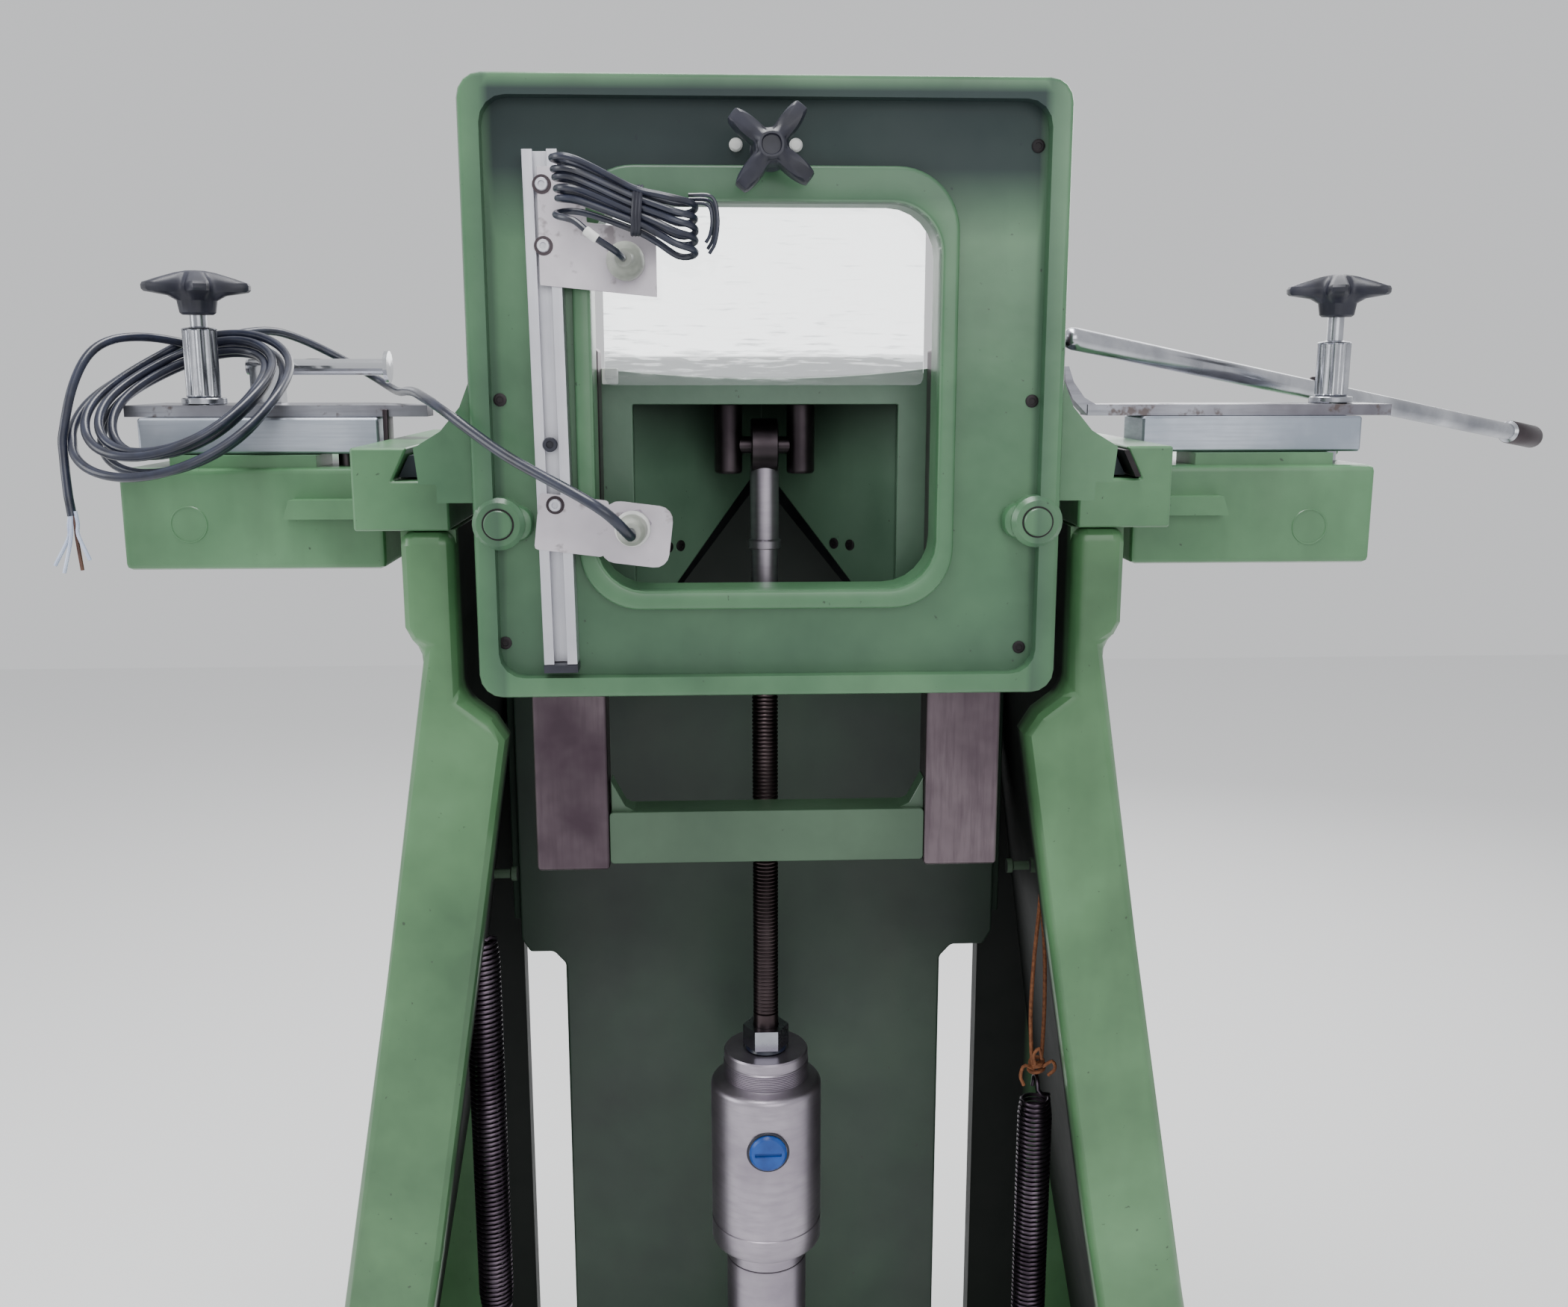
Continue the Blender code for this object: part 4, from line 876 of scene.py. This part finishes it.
TIP, END = Vector((0.1827, 0.0900, 1.0373)), Vector((0.6660, 0.4155, 0.9608))
SPAN = (END - TIP).length
LEVER = (0.4080, 0.2417)
handle = lathe([(0, 0.0002), (0.0030, 0.0006), (0.0052, 0.0020), (0.0064, 0.0044),
                (0.0068, 0.0080), (0.0068, SPAN - 0.0462), (0.0072, SPAN - 0.0458),
                (0.0090, SPAN - 0.0440), (0.0092, SPAN - 0.0040), (0.0086, SPAN - 0.0016),
                (0.0066, SPAN), (0, SPAN)], TIP, END - TIP, 40)
piece("lever_tube", handle, BRIGHT, "hand_lever", stands_for=("hand_lever",))
hub = lathe([(0.0057, 0.9907), (0.0096, 0.9907), (0.0100, 0.9913), (0.0100, 1.0121),
             (0.0096, 1.0127), (0.0057, 1.0127)], (*LEVER, 0), steps=40)
piece("lever_hub", hub, DARK_STEEL, "hand_lever")
sleeve = lathe([(0.0090, SPAN - 0.0440), (0.00945, SPAN - 0.0430), (0.00945, SPAN - 0.0044),
                (0.0088, SPAN - 0.0018)], TIP, END - TIP, 40)
piece("lever_sleeve", sleeve, DARK_STEEL, "hand_lever")

# -------- springs


def spring(x, top, eye_top):
    """A close-wound extension spring with a hook bent up from its last turn."""
    wire, mean, pitch, half = 0.0013, 0.0109, 0.00345, 0.0083
    y, per_turn = 0.123, 14
    low = top - 0.278
    turns = int((top - 0.003 - low) / pitch)
    points = []
    for i in range(turns * per_turn + 1):
        turn = i / per_turn
        a = 2 * math.pi * turn
        reach = mean * min(1.0, 0.86 + 0.04 * turn, 0.86 + 0.04 * (turns - turn))
        points.append((x + reach * math.cos(a), y + reach * math.sin(a), low + pitch * turn))
    bm = sweep(points, wire, 7)
    shoulder = top - 0.001
    neck = [(x + 0.0094, y, shoulder - 0.002), (x + 0.0070, 0.1186, shoulder + 0.0005),
            (x + 0.0024, 0.1152, shoulder + 0.0030)]
    middle = eye_top - half - wire
    neck += [(x, y - half, max(shoulder + 0.006, middle - 0.002))]
    neck += [(x, y - half * math.cos(a), middle + half * math.sin(a))
             for a in (math.radians(d) for d in (15, 45, 75, 105, 135, 165))]
    neck += [(x, y + half, max(shoulder + 0.004, middle - 0.012)),
             (x - 0.0006, y + half, shoulder + 0.0005)]
    sweep(smooth_path(neck, 0.0016), wire, 8, bm)
    return bm


piece("coil_spring_left", spring(-0.189, 0.648, 0.6985), SPRING, "body",
      stands_for=("spring_left",))
piece("coil_spring_right", spring(0.189, 0.525, 0.538), SPRING, "body",
      stands_for=("spring_right",))

# -------- piston rod and cylinder

ROD = (0, 0.090, 0)


def thread(start, turns, pitch, root, crest, rise, flat):
    """Profile rows of a thread: at each pitch the root, then the crest from rise to flat."""
    return [(radius, start + pitch * i + up) for i in range(turns)
            for radius, up in ((root, 0.0), (crest, rise), (crest, flat))]


rod_rows = [(0, 0.2000), (0.0225, 0.2000), (0.0230, 0.2005), (0.0230, 0.2245), (0.0225, 0.2250),
            (0.0082, 0.2260), (0.0082, 0.6040),
            *thread(0.6045, 104, 0.0025, 0.0073, 0.0082, 0.0009, 0.0014),
            (0.0073, 0.8652), (0.0073, 0.8690), (0.0082, 0.8698), (0.0082, 0.9100), (0, 0.9100)]
piece("threaded_rod", lathe(rod_rows, ROD, steps=28), THREAD, "piston_rod",
      stands_for=("piston_rod",))
piece("rod_shank", lathe([(0.00826, 0.8700), (0.00830, 0.8706), (0.00830, 0.9094),
                          (0.00826, 0.9099)], ROD, steps=40), CYLINDER, "piston_rod")
eye = lathe([(0, 0.9103), (0.0098, 0.9103), (0.0102, 0.9108), (0.0102, 0.9150), (0.0088, 0.9162),
             (0.0088, 0.9600), (0, 0.9600)], ROD, steps=48)
piece("rod_end_shank", eye, CYLINDER, "piston_rod", stands_for=("rod_eye",))
ring = lathe([(0.0100, -0.0080), (0.0154, -0.0080), (0.0160, -0.0074), (0.0160, 0.0074),
              (0.0154, 0.0080), (0.0100, 0.0080), (0.0100, -0.0080)], (0, 0.090, 0.973),
             (1, 0, 0), 48)
piece("rod_end_ring", ring, DARK_STEEL, "piston_rod")
head = [(0.0092, 0.4300), (0.0262, 0.4300), (0.0265, 0.4304), (0.0265, 0.4412), (0.0345, 0.4425),
        (0.0360, 0.4436), (0.0365, 0.4450), (0.0365, 0.4583), (0.0358, 0.4588), (0.0358, 0.4606),
        (0.0365, 0.4611), (0.0365, 0.5540), (0.0362, 0.5555), (0.0350, 0.5572), (0.0330, 0.5582),
        (0.0290, 0.5592), *thread(0.5606, 9, 0.0012, 0.0271, 0.0280, 0.0004, 0.0007),
        (0.0272, 0.5716), (0.0272, 0.5722), (0.0276, 0.5726), (0.0276, 0.5778),
        (0.0268, 0.5790), (0.0150, 0.5790), (0.0146, 0.5782), (0.0092, 0.5782)]
piece("cylinder_nose", lathe(head, ROD, steps=96), CYLINDER, "cylinder",
      stands_for=("cylinder_head",))
tube_look = lathe([(0.0266, 0.1852), (0.0267, 0.1856), (0.0267, 0.4290), (0.0266, 0.4294)], ROD,
                  steps=96)
piece("barrel_tube", tube_look, CYLINDER, "cylinder")
wiper = lathe([(0.0086, 0.5785), (0.0128, 0.5785), (0.0134, 0.5792), (0.0120, 0.5812),
               (0.0090, 0.5818)], ROD, steps=48)
piece("rod_wiper", wiper, RUBBER, "cylinder")
piece("port_ring", lathe([(0.0123, 0.0364), (0.0136, 0.0364), (0.0138, 0.0368), (0.0134, 0.0374),
                          (0.0124, 0.0374)], (0, 0.090, 0.5235), FRONT), BLACK, "cylinder")

# -------- proximity switches


def switch_body(spot):
    """A threaded barrel, its plain end at the back."""
    return lathe([(0, -0.050), (0.0052, -0.050), (0.0058, -0.0495),
                  *thread(-0.0480, 53, 0.0010, 0.0053, 0.0059, 0.0004, 0.0006),
                  (0.0055, 0.0066), (0.0055, 0.0226), (0.0052, 0.0228), (0, 0.0228)],
                 spot, FRONT, 28)


def hexagon(radius, spot, front, back, into=None):
    """A hexagonal nut on an axis along y."""
    bm = into or bmesh.new()
    angles = [math.radians(60 * k + 10) for k in range(6)]
    ends = [[bm.verts.new((spot[0] + radius * math.cos(a), y, spot[2] + radius * math.sin(a)))
             for a in angles] for y in (front, back)]
    caps = [bm.faces.new(ends[0]), bm.faces.new(ends[1][::-1])]
    skin(bm, ends)
    rims = list({e for cap in caps for e in cap.edges})
    bmesh.ops.bevel(bm, geom=rims, offset=0.0008, segments=2, affect="EDGES", profile=0.5)
    return bm


UPPER, LOWER = (-0.0755, 0, 1.0735), (-0.0745, 0, 0.9345)
for word, spot in (("upper", UPPER), ("lower", LOWER)):
    piece(f"{word}_switch_barrel", switch_body(spot), DARK_STEEL, "saddle",
          stands_for=(f"{word}_switch",))
    nuts = hexagon(0.0098, spot, -0.0118, -0.0068)
    hexagon(0.0098, spot, -0.0036, 0.0014, nuts)
    piece(f"{word}_switch_nuts", nuts, CYLINDER, "saddle", smooth=False)
dome = lathe([(0, 0.0120), (0.0092, 0.0120), (0.0099, 0.0132), (0.0099, 0.0225), (0.0094, 0.0262),
              (0.0080, 0.0300), (0.0056, 0.0330), (0.0042, 0.0400), (0, 0.0400)], UPPER, FRONT)
piece("upper_switch_gland", dome, GLAND, "saddle")
dome = lathe([(0, 0.0120), (0.0086, 0.0120), (0.0090, 0.0128), (0.0090, 0.0205), (0.0086, 0.0218),
              (0.0082, 0.0226), (0.0078, 0.0340), (0.0070, 0.0385), (0.0052, 0.0410),
              (0.0036, 0.0414), (0, 0.0414)], LOWER, FRONT)
piece("lower_switch_gland", dome, GLAND, "saddle")
collar = lathe([(0.0088, 0.0206), (0.0096, 0.0210), (0.0098, 0.0222), (0.0094, 0.0236),
                (0.0080, 0.0238)], LOWER, FRONT)
piece("lower_switch_collar", collar, WHITE, "saddle")

# -------- screws, pins and marks


def screw(spot, radius, height, axis=FRONT, into=None):
    """A socket-head screw, its foot on the spot."""
    return lathe([(0, -0.0004), (radius, -0.0004), (radius, height * 0.75),
                  (radius * 0.88, height), (radius * 0.52, height), (radius * 0.48, height * 0.3),
                  (0, height * 0.3)], spot, axis, 24, into)


bright, screw_shade_rings = bmesh.new(), bmesh.new()
for x, z in ((-0.119, 1.113), (-0.119, 1.082), (-0.117, 0.946)):
    screw((x, -0.0062, z), 0.0034, 0.0028, into=bright)
    # Dark rings round the bright heads: painted shade round the screws.
    lathe([(0.0030, -0.0004), (0.0050, -0.0004), (0.0050, 0.0004), (0.0030, 0.0004)],
          (x, -0.0062, z), FRONT, 24, screw_shade_rings)
piece("bracket_screws", bright, ALU, "saddle")
piece("bracket_screw_shade_rings", screw_shade_rings, DARK_STEEL, "saddle")
white = bmesh.new()
for x in (-0.0175, 0.0145):
    lathe([(0, -0.0004), (0.0036, -0.0004), (0.0036, 0.0010), (0.0026, 0.0022), (0, 0.0026)],
          (x, 0.010, 1.1355), FRONT, 24, white)
piece("guard_screws", white, WHITE, "saddle")
black = screw((-0.1190, -0.0040, 0.9785), 0.0040, 0.0022)
piece("rail_screw", black, BLACK, "saddle")
plugs = bmesh.new()
for x, z in ((0.145, 1.136), (-0.149, 0.867), (0.143, 0.862), (-0.147, 1.002), (0.146, 1.001)):
    screw((x, 0.0100, z), 0.0036, 0.0008, into=plugs)
piece("plate_screws", plugs, GREASE, "saddle")
holes = bmesh.new()
for x, y in ((-0.0590, 0.0896), (-0.0519, 0.0966), (0.0441, 0.1043), (0.0533, 0.0952)):
    screw((x, y, 0.911), 0.0034, 0.0008, (-0.703 if x > 0 else 0.703, -0.711, 0), holes)
piece("knife_block_screws", holes, GREASE, "knife_carriage")
pins, rims = bmesh.new(), bmesh.new()
for x in (-0.149, 0.149):
    lathe([(0, -0.0016), (0.0074, -0.0016), (0.0078, -0.0020), (0.0078, 0.0032), (0.0072, 0.0038),
           (0, 0.0040)], (x, 0, 0.935), FRONT, 40, pins)
    lathe([(0.0079, 0.0018), (0.0079, 0.0022), (0.0088, 0.0022), (0.0088, 0.0018)],
          (x, 0, 0.935), FRONT, 40, rims)
piece("boss_pins", pins, SADDLE_GREEN, "saddle")
piece("boss_pin_gaps", rims, GREASE, "saddle")


lip = ring_plate(rounded((-0.1057, 0.1027), (0.8863, 1.1245), 0.034),
                 rounded((-0.0958, 0.0928), (0.8972, 1.1058), 0.0268), 0.0017, 0.0130, 0.0022)
piece("window_lip", lip, SADDLE_GREEN, "saddle")
corner = slab((-0.0935, -0.0845), (0.0355, 0.0420), (1.0100, 1.0190), edge=0.0008)
piece("guard_corner_block", corner, WHITE, "saddle")
marks = bmesh.new()
for x, z in ((-0.362, 0.922), (0.358, 0.917)):
    sweep(ring_path((x, 0.1302, z), (0.0112, 0, 0), (0, 0, 0.0112), 40), 0.0007, 6, marks)
piece("casting_marks", marks, ARM_GREEN, "body")
clip = slab((-0.2418, -0.2385), (0.1480, 0.1640), (0.9620, 0.9930), edge=0.0006)
slab((-0.2440, -0.2310), (0.1500, 0.1620), (0.9580, 0.9618), edge=0.0006, into=clip)
piece("fence_stop_clip", clip, DARK_STEEL, "body")
keepers = bmesh.new()
for x in (-0.132, 0.132):
    for z in (0.885, 0.965, 1.045, 1.122):
        screw((x, 0.0763, z), 0.0050, 0.0030, (0, 1, 0), keepers)
piece("keeper_screws", keepers, DARK_STEEL, "saddle")
table_screws = bmesh.new()
for x, y in ((-0.150, 0.205), (0.150, 0.205), (-0.150, 0.300), (0.150, 0.300)):
    screw((x, y, 0.9953), 0.0056, 0.0006, UP, table_screws)
piece("table_screws", table_screws, DARK_STEEL, "body")


def hexagon_bolt(spot, axis, washer, head, heights, chamfer, into):
    """A bolt's head on its washer: two radii, and the heights of foot, seat and top."""
    foot, seat, top = heights
    lathe([(0, foot), (washer, foot), (washer, seat), (0, seat)], spot, axis, 32, into)
    lathe([(0, seat), (head, seat), (head, top - chamfer), (head - chamfer, top), (0, top)],
          spot, axis, 6, into)


FRAME_BOLT = (0.0105, 0.0080, (-0.0004, 0.0014, 0.0072), 0.0010)
FLOOR_BOLT = (0.0120, 0.0086, (0.0215, 0.0235, 0.0292), 0.0012)
frame_bolts = bmesh.new()
for side in (-1, 1):
    for x, z in ((0.2242, 0.640), (0.2056, 0.780), (0.2030, 0.880)):
        for y in (0.285, 0.322):
            hexagon_bolt((side * x, y, z), (side, 0, 0), *FRAME_BOLT, frame_bolts)
for x in (-0.036, 0.036):
    hexagon_bolt((x, 0.128, 0.1104), UP, *FRAME_BOLT, frame_bolts)
piece("frame_bolts", frame_bolts, DARK_STEEL, "body", smooth=False)
foot_bolts = bmesh.new()
for side in (-1, 1):
    for y in (0.060, 0.350):
        hexagon_bolt((side * 0.352, y, 0), UP, *FLOOR_BOLT, foot_bolts)
piece("floor_bolts", foot_bolts, DARK_STEEL, "body")
